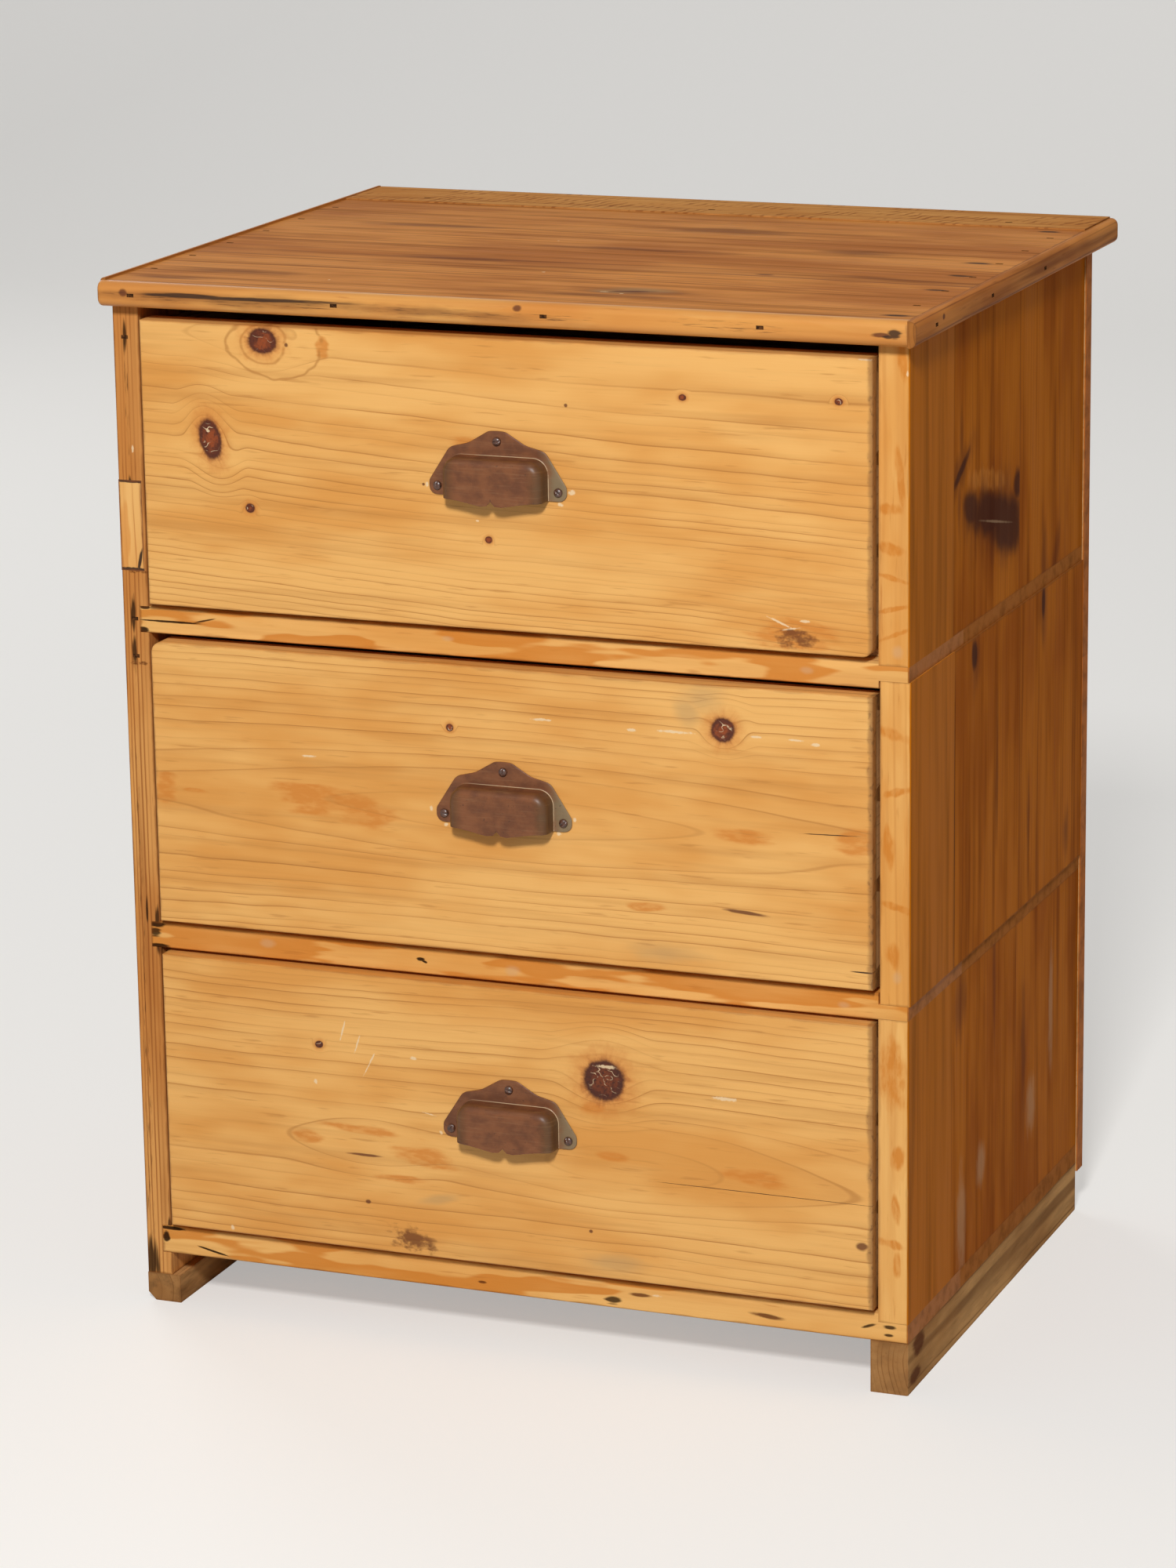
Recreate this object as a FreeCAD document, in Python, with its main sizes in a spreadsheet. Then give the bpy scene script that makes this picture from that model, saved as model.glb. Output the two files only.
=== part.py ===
import FreeCAD, Part
import os
import re
import Sketcher

# Small pine chest of three dovetailed drawers with pressed cup handles.
# Carcass: one full-height left side, a right side of three stacked sections between the
# shelf boards, a planked back, and a top with thin rounded lippings and a rough rear strip.
# Inside this file X = 0 is the outer face of the left side and Y = 0 the front of the carcass.
# Every placement then moves the piece to a frame centred under the bounding box, +Z up.

V = FreeCAD.Vector
Z_AXIS = V(0, 0, 1)

# Driving sizes in millimetres
SIZES = {
    # carcass
    "carcass_width": 583,
    "carcass_depth": 411,
    "left_side_thickness": 20,
    "right_side_thickness": 21.5,
    "side_front_width": 97,
    "side_middle_width": 154,
    "middle_side_step": 1.2,
    "foot_height": 38,
    "left_side_drop": 17,
    "left_runner_width": 26,
    "right_runner_width": 27.5,
    "runner_chamfer": 6,
    "bottom_board_thickness": 21,
    "shelf_thickness": 19,
    "rail_board_width": 120,
    "housing_depth": 7,
    "lower_bay": 211,
    "middle_bay": 212.5,
    "upper_bay": 214.5,
    "bottom_top_cut": 7,
    "lower_top_cut": 8,
    "lower_under_cut": 1,
    "upper_top_cut": 3,
    "upper_under_cut": 5.5,
    "arris_round": 1.2,
    # repair let into the front edge of the left side
    "patch_width": 18,
    "patch_height": 65,
    "patch_depth": 12,
    "patch_level": 545.5,
    # planked back
    "back_thickness": 14,
    "back_lip": 1.5,
    "back_drop": 7,
    "back_plank_a": 80,
    "back_plank_b": 80,
    "back_plank_c": 81,
    "back_plank_d": 84.5,
    "back_plank_e": 76.5,
    "back_plank_f": 79,
    "back_plank_g": 94,
    # top
    "top_thickness": 18,
    "top_front_overhang": 8,
    "top_side_overhang": 3,
    "top_board_depth": 408,
    "rear_strip_width": 66,
    "rear_strip_rise": 1,
    "nosing_depth": 7,
    "nosing_round": 6,
    "end_nosing_depth": 6,
    "end_nosing_round": 5,
    "left_nosing_depth": 4,
    "left_nosing_rise": 1.5,
    "left_nosing_round": 2.5,
    # drawers
    "drawer_proud": 8,
    "gap_left": 4.5,
    "gap_right": 1.5,
    "run_clearance": 0.3,
    "stop_clearance": 0.3,
    "front_lift": 3.5,
    "lower_top_gap": 2.5,
    "middle_top_gap": 4.5,
    "upper_top_gap": 9,
    "front_thickness": 21,
    "front_round": 1.2,
    "worn_corner": 8,
    "lap": 8,
    "drawer_side_thickness": 11,
    "side_top_drop": 6,
    "drawer_back_thickness": 11,
    "back_top_drop": 9,
    "drawer_bottom_thickness": 7,
    "bottom_height": 8,
    "groove_depth": 5,
    "groove_play": 0.2,
    "pin_width": 8,
    "half_pin": 9,
    "tail_flare": 3.5,
    # cup handle
    "handle_height": 99,
    "sheet": 1.2,
    "cup_half_width": 37,
    "cup_top": 22.5,
    "cup_depth": 15,
    "cup_corner_round": 11,
    "cup_edge_slope": 4.2,
    "hollow_edge_slope": 3.5,
    "flange_seam": 0.3,
    "lip_level": 6.2,
    "lobe_level": 10.2,
    "lobe_inner_offset": 3,
    "lobe_outer_offset": 14.4,
    "notch_level": 6.6,
    "crest_top": 40,
    "crest_half_width": 5,
    "crest_round": 6,
    "waist_offset": 17,
    "waist_level": 31,
    "waist_round": 12,
    "shoulder_offset": 34,
    "shoulder_level": 29,
    "shoulder_round": 8,
    "ear_offset": 44.4,
    "ear_reach": 6.2,
    "ear_level": 3.5,
    "ear_round": 5.5,
    "crest_screw_level": 32.7,
    # screws and nails
    "screw_head_radius": 3,
    "screw_head_height": 2.2,
    "screw_shank_radius": 1.5,
    "screw_length": 15,
    "screw_clearance": 0.2,
    "slot_width": 0.8,
    "slot_depth": 0.9,
    "nail_width": 2.6,
    "nail_head_length": 5.2,
    "nail_head_thickness": 1,
    "nail_length": 42,
    "pin_nail_length": 22,
    "top_nail_first": 48,
    "top_nail_pitch": 62,
    "strip_nail_inset": 60,
    "nosing_nail_first": 22,
    "nosing_nail_pitch": 154,
    "end_nail_first": 30,
    "end_nail_pitch": 125,
    "shelf_nail_first": 55,
    "shelf_nail_pitch": 150,
    "edge_nail_inset": 9,
    "edge_nail_low": 484,
    "edge_nail_middle": 511,
    "edge_nail_high": 712,
}
COS_45 = 0.7071
TAILS = 3
TOP_NAILS = 6
NOSING_NAILS = 4
SHELF_NAILS = 3

doc = FreeCAD.newDocument("chest_of_drawers")
sheet = doc.addObject("Spreadsheet::Sheet", "sizes")
for row, (alias, size) in enumerate(SIZES.items(), start=1):
    sheet.set(f"A{row}", alias)
    sheet.set(f"B{row}", str(size))
    sheet.setAlias(f"B{row}", alias)
doc.recompute()


def terms(expression):
    """The expression with each size name turned into its cell in the sheet."""
    return re.sub(r"[a-z_]{3,}", lambda word: "sizes." + word.group(), expression)


def value(expression):
    """The number that an expression of sizes stands for."""
    return float(sheet.evalExpression(terms(expression)))


# Levels and places worked out from the sizes
BOTTOM_TOP = "foot_height + bottom_board_thickness"
LOWER_SHELF = f"{BOTTOM_TOP} + lower_bay"
LOWER_TOP = f"{LOWER_SHELF} + shelf_thickness"
UPPER_SHELF = f"{LOWER_TOP} + middle_bay"
UPPER_TOP = f"{UPPER_SHELF} + shelf_thickness"
CARCASS_TOP = f"{UPPER_TOP} + upper_bay"
LEFT_SIDE_BASE = "foot_height - left_side_drop"
RIGHT_INNER = "carcass_width - right_side_thickness"
TOP_WIDTH = "carcass_width + top_side_overhang"
TOP_LENGTH = "top_board_depth + rear_strip_width"
TOP_REAR = f"{TOP_LENGTH} - top_front_overhang"
STRIP_FRONT = "top_board_depth - top_front_overhang"
CENTRE_X = f"({TOP_WIDTH} + end_nosing_depth - left_nosing_depth) / 2"
CENTRE_Y = f"({TOP_REAR} - drawer_proud - cup_depth) / 2"
SIDE_REAR_WIDTH = "carcass_depth - side_front_width - side_middle_width"
SIDE_BOARDS = (
    ("front", "0", "side_front_width"),
    ("middle", "side_front_width", "side_middle_width"),
    ("rear", "side_front_width + side_middle_width", SIDE_REAR_WIDTH),
)

parts = {}


# Building blocks

def piece(label, x="0", y="0", z="0", groups=False):
    """A body placed by its corner or centre, measured from the carcass corner at floor level."""
    body = doc.addObject("PartDesign::Body", label)
    body.Label = label
    body.AllowCompound = groups
    body.setExpression("Placement.Base.x", terms(f"{x} - {CENTRE_X}"))
    body.setExpression("Placement.Base.y", terms(f"{y} - {CENTRE_Y}"))
    body.setExpression("Placement.Base.z", terms(z))
    parts[label] = body
    return body


def sketch_on(body, plane, offset=("0", "0", "0")):
    """A sketch on one of the body's own planes: XY looks up, XZ looks to the front, YZ to the right."""
    sketch = body.newObject("Sketcher::SketchObject", f"{body.Name}_{plane}")
    support = [item for item in body.Origin.OriginFeatures if item.Role == f"{plane}_Plane"][0]
    sketch.AttachmentSupport = [(support, "")]
    sketch.MapMode = "FlatFace"
    for axis, shift in zip("xyz", offset):
        if shift != "0":
            sketch.setExpression(f"AttachmentOffset.Base.{axis}", terms(shift))
    return sketch


def hold_point(sketch, index, position, corner):
    """Dimensions one point of a sketch from its origin."""
    for kind, along, axis in (("DistanceX", corner[0], -2), ("DistanceY", corner[1], -1)):
        if along == "0":
            sketch.addConstraint(Sketcher.Constraint("PointOnObject", index, position, axis))
        else:
            number = sketch.addConstraint(
                Sketcher.Constraint(kind, -1, 1, index, position, value(along)))
            sketch.setExpression(f"Constraints[{number}]", terms(along))


def outline(sketch, corners):
    """A closed outline of straight lines through the given corners."""
    spots = [V(value(x), value(y), 0) for x, y in corners]
    first = sketch.GeometryCount
    count = len(spots)
    for step in range(count):
        sketch.addGeometry(Part.LineSegment(spots[step], spots[(step + 1) % count]))
    for step in range(count):
        following = first + (step + 1) % count
        sketch.addConstraint(Sketcher.Constraint("Coincident", first + step, 2, following, 1))
    for step, corner in enumerate(corners):
        hold_point(sketch, first + step, 1, corner)


def rectangle(sketch, x, y, width, height):
    """An upright rectangle by its lower left corner and its size."""
    right = f"{x} + {width}" if x != "0" else width
    upper = f"{y} + {height}" if y != "0" else height
    outline(sketch, [(x, y), (right, y), (right, upper), (x, upper)])


def circle(sketch, x, y, radius):
    """A circle by its centre and radius."""
    index = sketch.addGeometry(Part.Circle(V(value(x), value(y), 0), Z_AXIS, value(radius)))
    hold_point(sketch, index, 3, (x, y))
    number = sketch.addConstraint(Sketcher.Constraint("Radius", index, value(radius)))
    sketch.setExpression(f"Constraints[{number}]", terms(radius))


def pad(body, sketch, length, backwards=False):
    """Extrudes a sketch along its normal, or the other way."""
    feature = body.newObject("PartDesign::Pad", "pad")
    feature.Profile = sketch
    feature.setExpression("Length", terms(length))
    feature.Reversed = backwards
    doc.recompute()
    return feature


def pocket(body, sketch, depth, backwards=False):
    """Cuts a sketch against its normal, or along it, and makes sure that it cut something."""
    before = body.Shape.Volume
    feature = body.newObject("PartDesign::Pocket", "pocket")
    feature.Profile = sketch
    feature.setExpression("Length", terms(depth))
    feature.Reversed = backwards
    doc.recompute()
    if not feature.Shape.Volume < before:
        raise ValueError(f"a pocket of {body.Label} cuts nothing")
    return feature


def edges_where(shape, test):
    """Names of the edges whose middle point, direction and length pass the test."""
    names = []
    for number, edge in enumerate(shape.Edges, start=1):
        middle = edge.valueAt((edge.FirstParameter + edge.LastParameter) / 2)
        direction = edge.tangentAt((edge.FirstParameter + edge.LastParameter) / 2)
        if test(middle, direction, edge):
            names.append(f"Edge{number}")
    return names


def soften(body, radius, test):
    """Rounds the chosen edges of the body's newest feature."""
    base = body.Tip
    feature = body.newObject("PartDesign::Fillet", "round")
    feature.Base = (base, edges_where(base.Shape, test))
    feature.setExpression("Radius", terms(radius))
    doc.recompute()
    return feature


def bevel(body, size, test):
    """Cuts the chosen edges of the body's newest feature at 45 degrees."""
    base = body.Tip
    feature = body.newObject("PartDesign::Chamfer", "bevel")
    feature.Base = (base, edges_where(base.Shape, test))
    feature.setExpression("Size", terms(size))
    doc.recompute()
    return feature


def board(label, x, y, z, width, depth, height):
    """A plain planed board."""
    body = piece(label, x, y, z)
    sketch = sketch_on(body, "XY")
    rectangle(sketch, "0", "0", width, depth)
    pad(body, sketch, height)
    return body


def bored(label, *nails):
    """The named piece with the nails' own shapes cut out of it."""
    for tool in nails:
        body = parts[label]
        body.Label = f"{label}_before_{tool}"
        cut = doc.addObject("Part::Cut", f"{label}_nailed")
        cut.Base = body
        cut.Tool = parts[tool]
        cut.Label = label
        parts[label] = cut


def along(direction, axis):
    """True where a direction is parallel to a unit axis."""
    return abs(abs(direction.dot(axis)) - 1) < 1e-6


X_AXIS = V(1, 0, 0)
Y_AXIS = V(0, 1, 0)


# Carcass

def shelf(name, level, thickness, top_cut, under_cut):
    """A full-width shelf of a front rail board and a rear dust board.

    The left end is housed in the left side. The right end is thinned to a tongue, whose end
    grain shows between the stacked sections of the right side.
    """
    start = "left_side_thickness - housing_depth"
    shoulder = f"{RIGHT_INNER} - ({start})"
    end = f"carcass_width - ({start})"
    corners = [("0", "0"), (shoulder, "0")]
    if under_cut:
        corners += [(shoulder, under_cut), (end, under_cut)]
    else:
        corners[-1] = (end, "0")
    tongue_top = f"{thickness} - {top_cut}"
    corners += [(end, tongue_top), (shoulder, tongue_top), (shoulder, thickness), ("0", thickness)]
    rear_width = "carcass_depth - rail_board_width"
    for label, y, width in ((f"{name}_rail_board", "0", "rail_board_width"),
                            (f"{name}_dust_board", "rail_board_width", rear_width)):
        body = piece(label, start, y, level)
        sketch = sketch_on(body, "XZ")
        outline(sketch, corners)
        pad(body, sketch, width, backwards=True)
        if y == "0":
            soften(body, "arris_round", lambda middle, direction, edge:
                   along(direction, X_AXIS) and middle.y < 1e-6 and edge.Length > value(shoulder) / 2)


def left_side():
    """Three upright boards, housed across for the shelves, with a repair in the front edge."""
    height = f"{CARCASS_TOP} - ({LEFT_SIDE_BASE})"
    cheek = "left_side_thickness - housing_depth"
    corners = [("0", "0"), ("left_side_thickness", "0")]
    for level, thickness in (("foot_height", "bottom_board_thickness"),
                             (LOWER_SHELF, "shelf_thickness"), (UPPER_SHELF, "shelf_thickness")):
        low = f"{level} - ({LEFT_SIDE_BASE})"
        high = f"{low} + {thickness}"
        corners += [("left_side_thickness", low), (cheek, low)]
        corners += [(cheek, high), ("left_side_thickness", high)]
    corners += [("left_side_thickness", height), ("0", height)]
    for name, y, width in SIDE_BOARDS:
        body = piece(f"left_side_{name}", "0", y, LEFT_SIDE_BASE)
        sketch = sketch_on(body, "XZ")
        outline(sketch, corners)
        pad(body, sketch, width, backwards=True)
        if name == "front":
            soften(body, "arris_round", lambda middle, direction, edge:
                   along(direction, Z_AXIS) and middle.y < 1e-6 and middle.x < 1e-6)
            recess = sketch_on(body, "XZ")
            rectangle(recess, "0", f"patch_level - ({LEFT_SIDE_BASE})", "patch_width", "patch_height")
            pocket(body, recess, "patch_depth")
    board("left_edge_patch", "0", "0", "patch_level", "patch_width", "patch_depth", "patch_height")


def right_side():
    """Three stacked sections, each of three upright boards, seated on the shelf tongues."""
    sections = (
        ("lower", f"{BOTTOM_TOP} - bottom_top_cut", f"{LOWER_SHELF} + lower_under_cut", "0"),
        ("middle", f"{LOWER_TOP} - lower_top_cut", f"{UPPER_SHELF} + upper_under_cut",
         "middle_side_step"),
        ("upper", f"{UPPER_TOP} - upper_top_cut", CARCASS_TOP, "0"),
    )
    for section, base, top, step in sections:
        for name, y, width in SIDE_BOARDS:
            body = board(f"right_{section}_{name}", f"{RIGHT_INNER} + {step}", y, base,
                         "right_side_thickness", width, f"{top} - ({base})")
            if name == "front":
                soften(body, "arris_round", lambda middle, direction, edge:
                       along(direction, Z_AXIS) and middle.y < 1e-6 and middle.x > 1)


def runners():
    """The two floor runners; the left one is lower and its outer corner is worn away."""
    body = piece("left_runner")
    sketch = sketch_on(body, "XZ")
    outline(sketch, [("runner_chamfer", "0"), ("left_runner_width", "0"),
                     ("left_runner_width", LEFT_SIDE_BASE), ("0", LEFT_SIDE_BASE),
                     ("0", "runner_chamfer")])
    pad(body, sketch, "carcass_depth", backwards=True)
    body = board("right_runner", "carcass_width - right_runner_width", "0", "0",
                 "right_runner_width", "carcass_depth", "foot_height")
    soften(body, "arris_round", lambda middle, direction, edge:
           middle.y < 1e-6 and along(direction, Z_AXIS))


def planked_back():
    """Horizontal planks nailed across the rear edges; the highest fills what is left."""
    base = "foot_height - back_drop"
    names = "abcdefg"
    levels = [base]
    for name in names:
        levels.append(f"{levels[-1]} + back_plank_{name}")
    levels.append(CARCASS_TOP)
    middles = []
    for number, (low, high) in enumerate(zip(levels, levels[1:]), start=1):
        board(f"back_plank_{number}", "-back_lip", "carcass_depth", low,
              "carcass_width + 2 * back_lip", "back_thickness", f"{high} - ({low})")
        middles.append(f"(({low}) + ({high})) / 2")
    return middles


def top():
    """Top board, rough rear strip and the thin rounded lippings."""
    board("top_board", "0", "-top_front_overhang", CARCASS_TOP,
          TOP_WIDTH, "top_board_depth", "top_thickness")
    board("top_rear_strip", "0", STRIP_FRONT, CARCASS_TOP,
          TOP_WIDTH, "rear_strip_width", "top_thickness + rear_strip_rise")

    front = board("front_nosing", "-left_nosing_depth", "-top_front_overhang - nosing_depth",
                  CARCASS_TOP, f"left_nosing_depth + {TOP_WIDTH}", "nosing_depth", "top_thickness")
    soften(front, "nosing_round", lambda middle, direction, edge:
           along(direction, X_AXIS) and middle.y < 1e-6)
    soften(front, "left_nosing_round", lambda middle, direction, edge:
           middle.x < 1e-6 and middle.y < value("nosing_depth") - 1e-6)

    left = board("left_nosing", "-left_nosing_depth", "-top_front_overhang", CARCASS_TOP,
                 "left_nosing_depth", TOP_LENGTH, "top_thickness + left_nosing_rise")
    soften(left, "left_nosing_round", lambda middle, direction, edge:
           along(direction, Y_AXIS) and middle.x < 1e-6)

    right = board("right_nosing", TOP_WIDTH, "-top_front_overhang - nosing_depth", CARCASS_TOP,
                  "end_nosing_depth", f"nosing_depth + {TOP_LENGTH}", "top_thickness")
    soften(right, "end_nosing_round", lambda middle, direction, edge:
           along(direction, Y_AXIS) and middle.x > 1)


# Nails

def nail_row(body, plane, level, spots, length, outwards):
    """Cut nails driven square to a plane: square shanks, then heads with their faces flush.

    The spots are the nails' centres on the plane, level is where their heads finish, and
    outwards is true where the plane's normal points out of the wood.
    """
    offset = ("0", "0", level)
    shanks = sketch_on(body, plane, offset)
    heads = sketch_on(body, plane, offset)
    for x, y in spots:
        rectangle(shanks, f"{x} - nail_width / 2", f"{y} - nail_width / 2",
                  "nail_width", "nail_width")
        rectangle(heads, f"{x} - nail_head_length / 2", f"{y} - nail_width / 2",
                  "nail_head_length", "nail_width")
    pad(body, shanks, length, backwards=outwards)
    pad(body, heads, "nail_head_thickness", backwards=outwards)


def nails(back_middles):
    """All nails of the carcass, in four groups."""
    left_row = "left_side_thickness / 2"
    right_row = f"{RIGHT_INNER} + right_side_thickness / 2"

    group = piece("top_nails", groups=True)
    spots = [(x, f"top_nail_first + {number} * top_nail_pitch")
             for x in (left_row, right_row) for number in range(TOP_NAILS)]
    nail_row(group, "XY", f"{CARCASS_TOP} + top_thickness", spots, "nail_length", True)
    strip_row = "carcass_depth + back_thickness / 2"
    spots = [("strip_nail_inset", strip_row), ("carcass_width / 2", strip_row),
             ("carcass_width - strip_nail_inset", strip_row)]
    nail_row(group, "XY", f"{CARCASS_TOP} + top_thickness + rear_strip_rise", spots,
             "nail_length", True)

    group = piece("nosing_nails", groups=True)
    middle = f"{CARCASS_TOP} + top_thickness / 2"
    spots = [(f"nosing_nail_first + {number} * nosing_nail_pitch", middle)
             for number in range(NOSING_NAILS)]
    nail_row(group, "XZ", "top_front_overhang + nosing_depth", spots, "pin_nail_length", True)
    spots = [(f"end_nail_first + {number} * end_nail_pitch", middle)
             for number in range(NOSING_NAILS - 1)]
    nail_row(group, "YZ", f"{TOP_WIDTH} + end_nosing_depth", spots, "pin_nail_length", True)

    group = piece("side_nails", groups=True)
    levels = ("foot_height + bottom_board_thickness / 2", f"{LOWER_SHELF} + shelf_thickness / 2",
              f"{UPPER_SHELF} + shelf_thickness / 2")
    spots = [(f"shelf_nail_first + {number} * shelf_nail_pitch", level)
             for level in levels for number in range(SHELF_NAILS)]
    nail_row(group, "YZ", "0", spots, "nail_length", False)
    spots = [("edge_nail_inset", level)
             for level in ("edge_nail_low", "edge_nail_middle", "edge_nail_high")]
    nail_row(group, "XZ", "0", spots, "pin_nail_length", True)

    group = piece("back_nails", groups=True)
    spots = [(x, level) for x in (left_row, right_row) for level in back_middles]
    nail_row(group, "XZ", "-carcass_depth - back_thickness", spots, "nail_length", False)


# Drawers

def tail_centres(base, top):
    """Centre, half width at the wide end and half width at the narrow end of each dovetail."""
    pitch = f"(({top}) - ({base})) / {TAILS}"
    wide = f"({pitch} - pin_width) / 2"
    narrow = f"(({wide}) - tail_flare)"
    return [(f"({base}) + ({pitch}) * {number + 0.5}", wide, narrow) for number in range(TAILS)]


def sockets(body, tails, near, far, reach, level, backwards):
    """Dovetail sockets cut into one end of a board, wide at far and narrow at near."""
    sketch = sketch_on(body, "YZ", ("0", "0", level))
    for centre, wide, narrow in tails:
        outline(sketch, [(near, f"{centre} - {narrow}"), (far, f"{centre} - {wide}"),
                         (far, f"{centre} + {wide}"), (near, f"{centre} + {narrow}")])
    pocket(body, sketch, reach, backwards)


def drawer(name, level, bay, top_gap, worn):
    """One drawer: lapped dovetails at the front, through dovetails at the back."""
    width = f"({RIGHT_INNER} - left_side_thickness - gap_left - gap_right)"
    length = "(drawer_proud + carcass_depth - stop_clearance)"
    front_base = "front_lift - run_clearance"
    front_height = f"({bay} - front_lift - {top_gap})"
    side_height = f"({front_base} + {front_height} - side_top_drop)"
    back_base = "bottom_height + drawer_bottom_thickness"
    back_top = f"{side_height} - back_top_drop"
    baseline = f"{length} - drawer_back_thickness"
    x = "left_side_thickness + gap_left"
    y = "-drawer_proud"
    z = f"{level} + run_clearance"
    front_tails = tail_centres(f"{front_base} + half_pin", side_height)
    back_tails = tail_centres(back_base, back_top)
    far_side = f"{width} - drawer_side_thickness"

    front = piece(f"{name}_front", x, y, z)
    sketch = sketch_on(front, "XZ")
    rectangle(sketch, "0", front_base, width, front_height)
    pad(front, sketch, "front_thickness", backwards=True)
    if worn:
        soften(front, "worn_corner", lambda middle, direction, edge:
               along(direction, Y_AXIS)
               and (middle.x < 1) == (worn == "upper left")
               and (middle.z > value(front_height) / 2) == (worn == "upper left"))
    soften(front, "front_round", lambda middle, direction, edge: middle.y < 1e-6)
    sockets(front, front_tails, "front_thickness", "lap", "drawer_side_thickness", "0", True)
    sockets(front, front_tails, "front_thickness", "lap", "drawer_side_thickness", width, False)
    groove = sketch_on(front, "XZ", ("0", "0", "-front_thickness"))
    rectangle(groove, "drawer_side_thickness - groove_depth", "bottom_height",
              f"{width} - 2 * (drawer_side_thickness - groove_depth)", "drawer_bottom_thickness")
    pocket(front, groove, "groove_depth", backwards=True)
    pilots = sketch_on(front, "XZ")
    for across, up in screw_spots():
        circle(pilots, f"{width} / 2 + {across}", f"{front_base} + handle_height + {up}",
               "screw_shank_radius")
    pocket(front, pilots, "screw_length")

    corners = [("front_thickness", "0"), (length, "0"), (length, back_base), (baseline, back_base)]
    for centre, wide, narrow in back_tails:
        corners += [(baseline, f"{centre} - {narrow}"), (length, f"{centre} - {wide}"),
                    (length, f"{centre} + {wide}"), (baseline, f"{centre} + {narrow}")]
    corners += [(baseline, back_top), (length, back_top), (length, side_height),
                ("front_thickness", side_height)]
    for centre, wide, narrow in reversed(front_tails):
        corners += [("front_thickness", f"{centre} + {narrow}"), ("lap", f"{centre} + {wide}"),
                    ("lap", f"{centre} - {wide}"), ("front_thickness", f"{centre} - {narrow}")]
    for hand, shift, inner, backwards in (("left", "0", "drawer_side_thickness", False),
                                          ("right", far_side, "0", True)):
        body = piece(f"{name}_{hand}_side", f"{x} + {shift}", y, z)
        sketch = sketch_on(body, "YZ")
        outline(sketch, corners)
        pad(body, sketch, "drawer_side_thickness")
        groove = sketch_on(body, "YZ", ("0", "0", inner))
        rectangle(groove, "front_thickness", "bottom_height",
                  f"{length} - front_thickness", "drawer_bottom_thickness")
        pocket(body, groove, "groove_depth", backwards)

    back = piece(f"{name}_back", x, y, z)
    sketch = sketch_on(back, "XZ", ("0", "0", f"-({baseline})"))
    rectangle(sketch, "0", back_base, width, f"{back_top} - ({back_base})")
    pad(back, sketch, "drawer_back_thickness", backwards=True)
    sockets(back, back_tails, baseline, length, "drawer_side_thickness", "0", True)
    sockets(back, back_tails, baseline, length, "drawer_side_thickness", width, False)

    inset = "(drawer_side_thickness - groove_depth + groove_play)"
    lead = "(front_thickness - groove_depth + groove_play)"
    board(f"{name}_bottom", f"{x} + {inset}", f"{y} + {lead}", f"{z} + bottom_height",
          f"{width} - 2 * {inset}", f"{length} - {lead}", "drawer_bottom_thickness - groove_play")

    handle(f"{name}_handle", f"{x} + {width} / 2", y, f"{level} + front_lift + handle_height")
    handle_screws(f"{name}_handle_screws", f"{x} + {width} / 2", y,
                  f"{level} + front_lift + handle_height")


# Cup handles

def screw_spots():
    """The three screws of a handle, measured from the middle of the line between its ears."""
    return [("-ear_offset", "0"), ("ear_offset", "0"), ("0", "crest_screw_level")]


def mirrored(corners):
    """Corners on the right followed by their images on the left, in one round."""
    return corners + [(f"-({x})", y) for x, y in reversed(corners) if x != "0"]


def at_corner(x, y):
    """A test for the edge that stands on one corner of an outline, or on its mirror image."""
    return lambda middle, direction, edge: (
        along(direction, Y_AXIS) and abs(abs(middle.x) - value(x)) < 1e-3
        and abs(middle.z - value(y)) < 1e-3)


def handle(label, x, y, z):
    """A pull pressed from one sheet: a hollow cup, open below, in a flange with three lobes."""
    body = piece(label, x, y, z)
    sketch = sketch_on(body, "XZ")
    outline(sketch, mirrored([
        ("0", "-notch_level"), ("lobe_inner_offset", "-lobe_level"),
        ("lobe_outer_offset", "-lobe_level"), ("cup_half_width", "-lip_level"),
        ("cup_half_width", "cup_top")]))
    pad(body, sketch, "cup_depth")
    hollow = sketch_on(body, "XZ")
    inner = "cup_half_width - sheet"
    inner_top = "cup_top - sheet"
    outline(hollow, mirrored([(inner, "-lobe_level - sheet"), (inner, inner_top)]))
    pocket(body, hollow, "cup_depth - sheet", backwards=True)
    soften(body, "cup_corner_round - sheet", at_corner(inner, inner_top))
    soften(body, "cup_corner_round", at_corner("cup_half_width", "cup_top"))
    lip = value("-lip_level")
    for depth, size in (("cup_depth - sheet", "hollow_edge_slope"), ("cup_depth", "cup_edge_slope")):
        face = -value(depth)
        bevel(body, size, lambda middle, direction, edge:
              abs(middle.y - face) < 1e-6 and abs(direction.y) < 1e-6 and middle.z > lip)

    flange = sketch_on(body, "XZ")
    reach = "ear_offset + ear_reach"
    seam = "cup_half_width - flange_seam"
    bend_x = "cup_half_width - cup_corner_round"
    bend_z = "cup_top - cup_corner_round"
    swing = f"{COS_45} * (cup_corner_round - flange_seam)"
    lobes = [((reach, "-ear_reach"), "ear_round"), ((reach, "ear_level"), "ear_round"),
             (("shoulder_offset", "shoulder_level"), "shoulder_round"),
             (("waist_offset", "waist_level"), "waist_round"),
             (("crest_half_width", "crest_top"), "crest_round")]
    outline(flange, mirrored([
        (bend_x, "cup_top - flange_seam"), (f"{bend_x} + {swing}", f"{bend_z} + {swing}"),
        (seam, bend_z), (seam, "-lip_level")] + [spot for spot, _ in lobes]))
    pad(body, flange, "sheet")
    for spot, radius in lobes:
        soften(body, radius, at_corner(*spot))
    holes = sketch_on(body, "XZ", ("0", "0", "sheet"))
    for across, up in screw_spots():
        circle(holes, across, up, "screw_shank_radius + screw_clearance")
    pocket(body, holes, "sheet")


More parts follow.
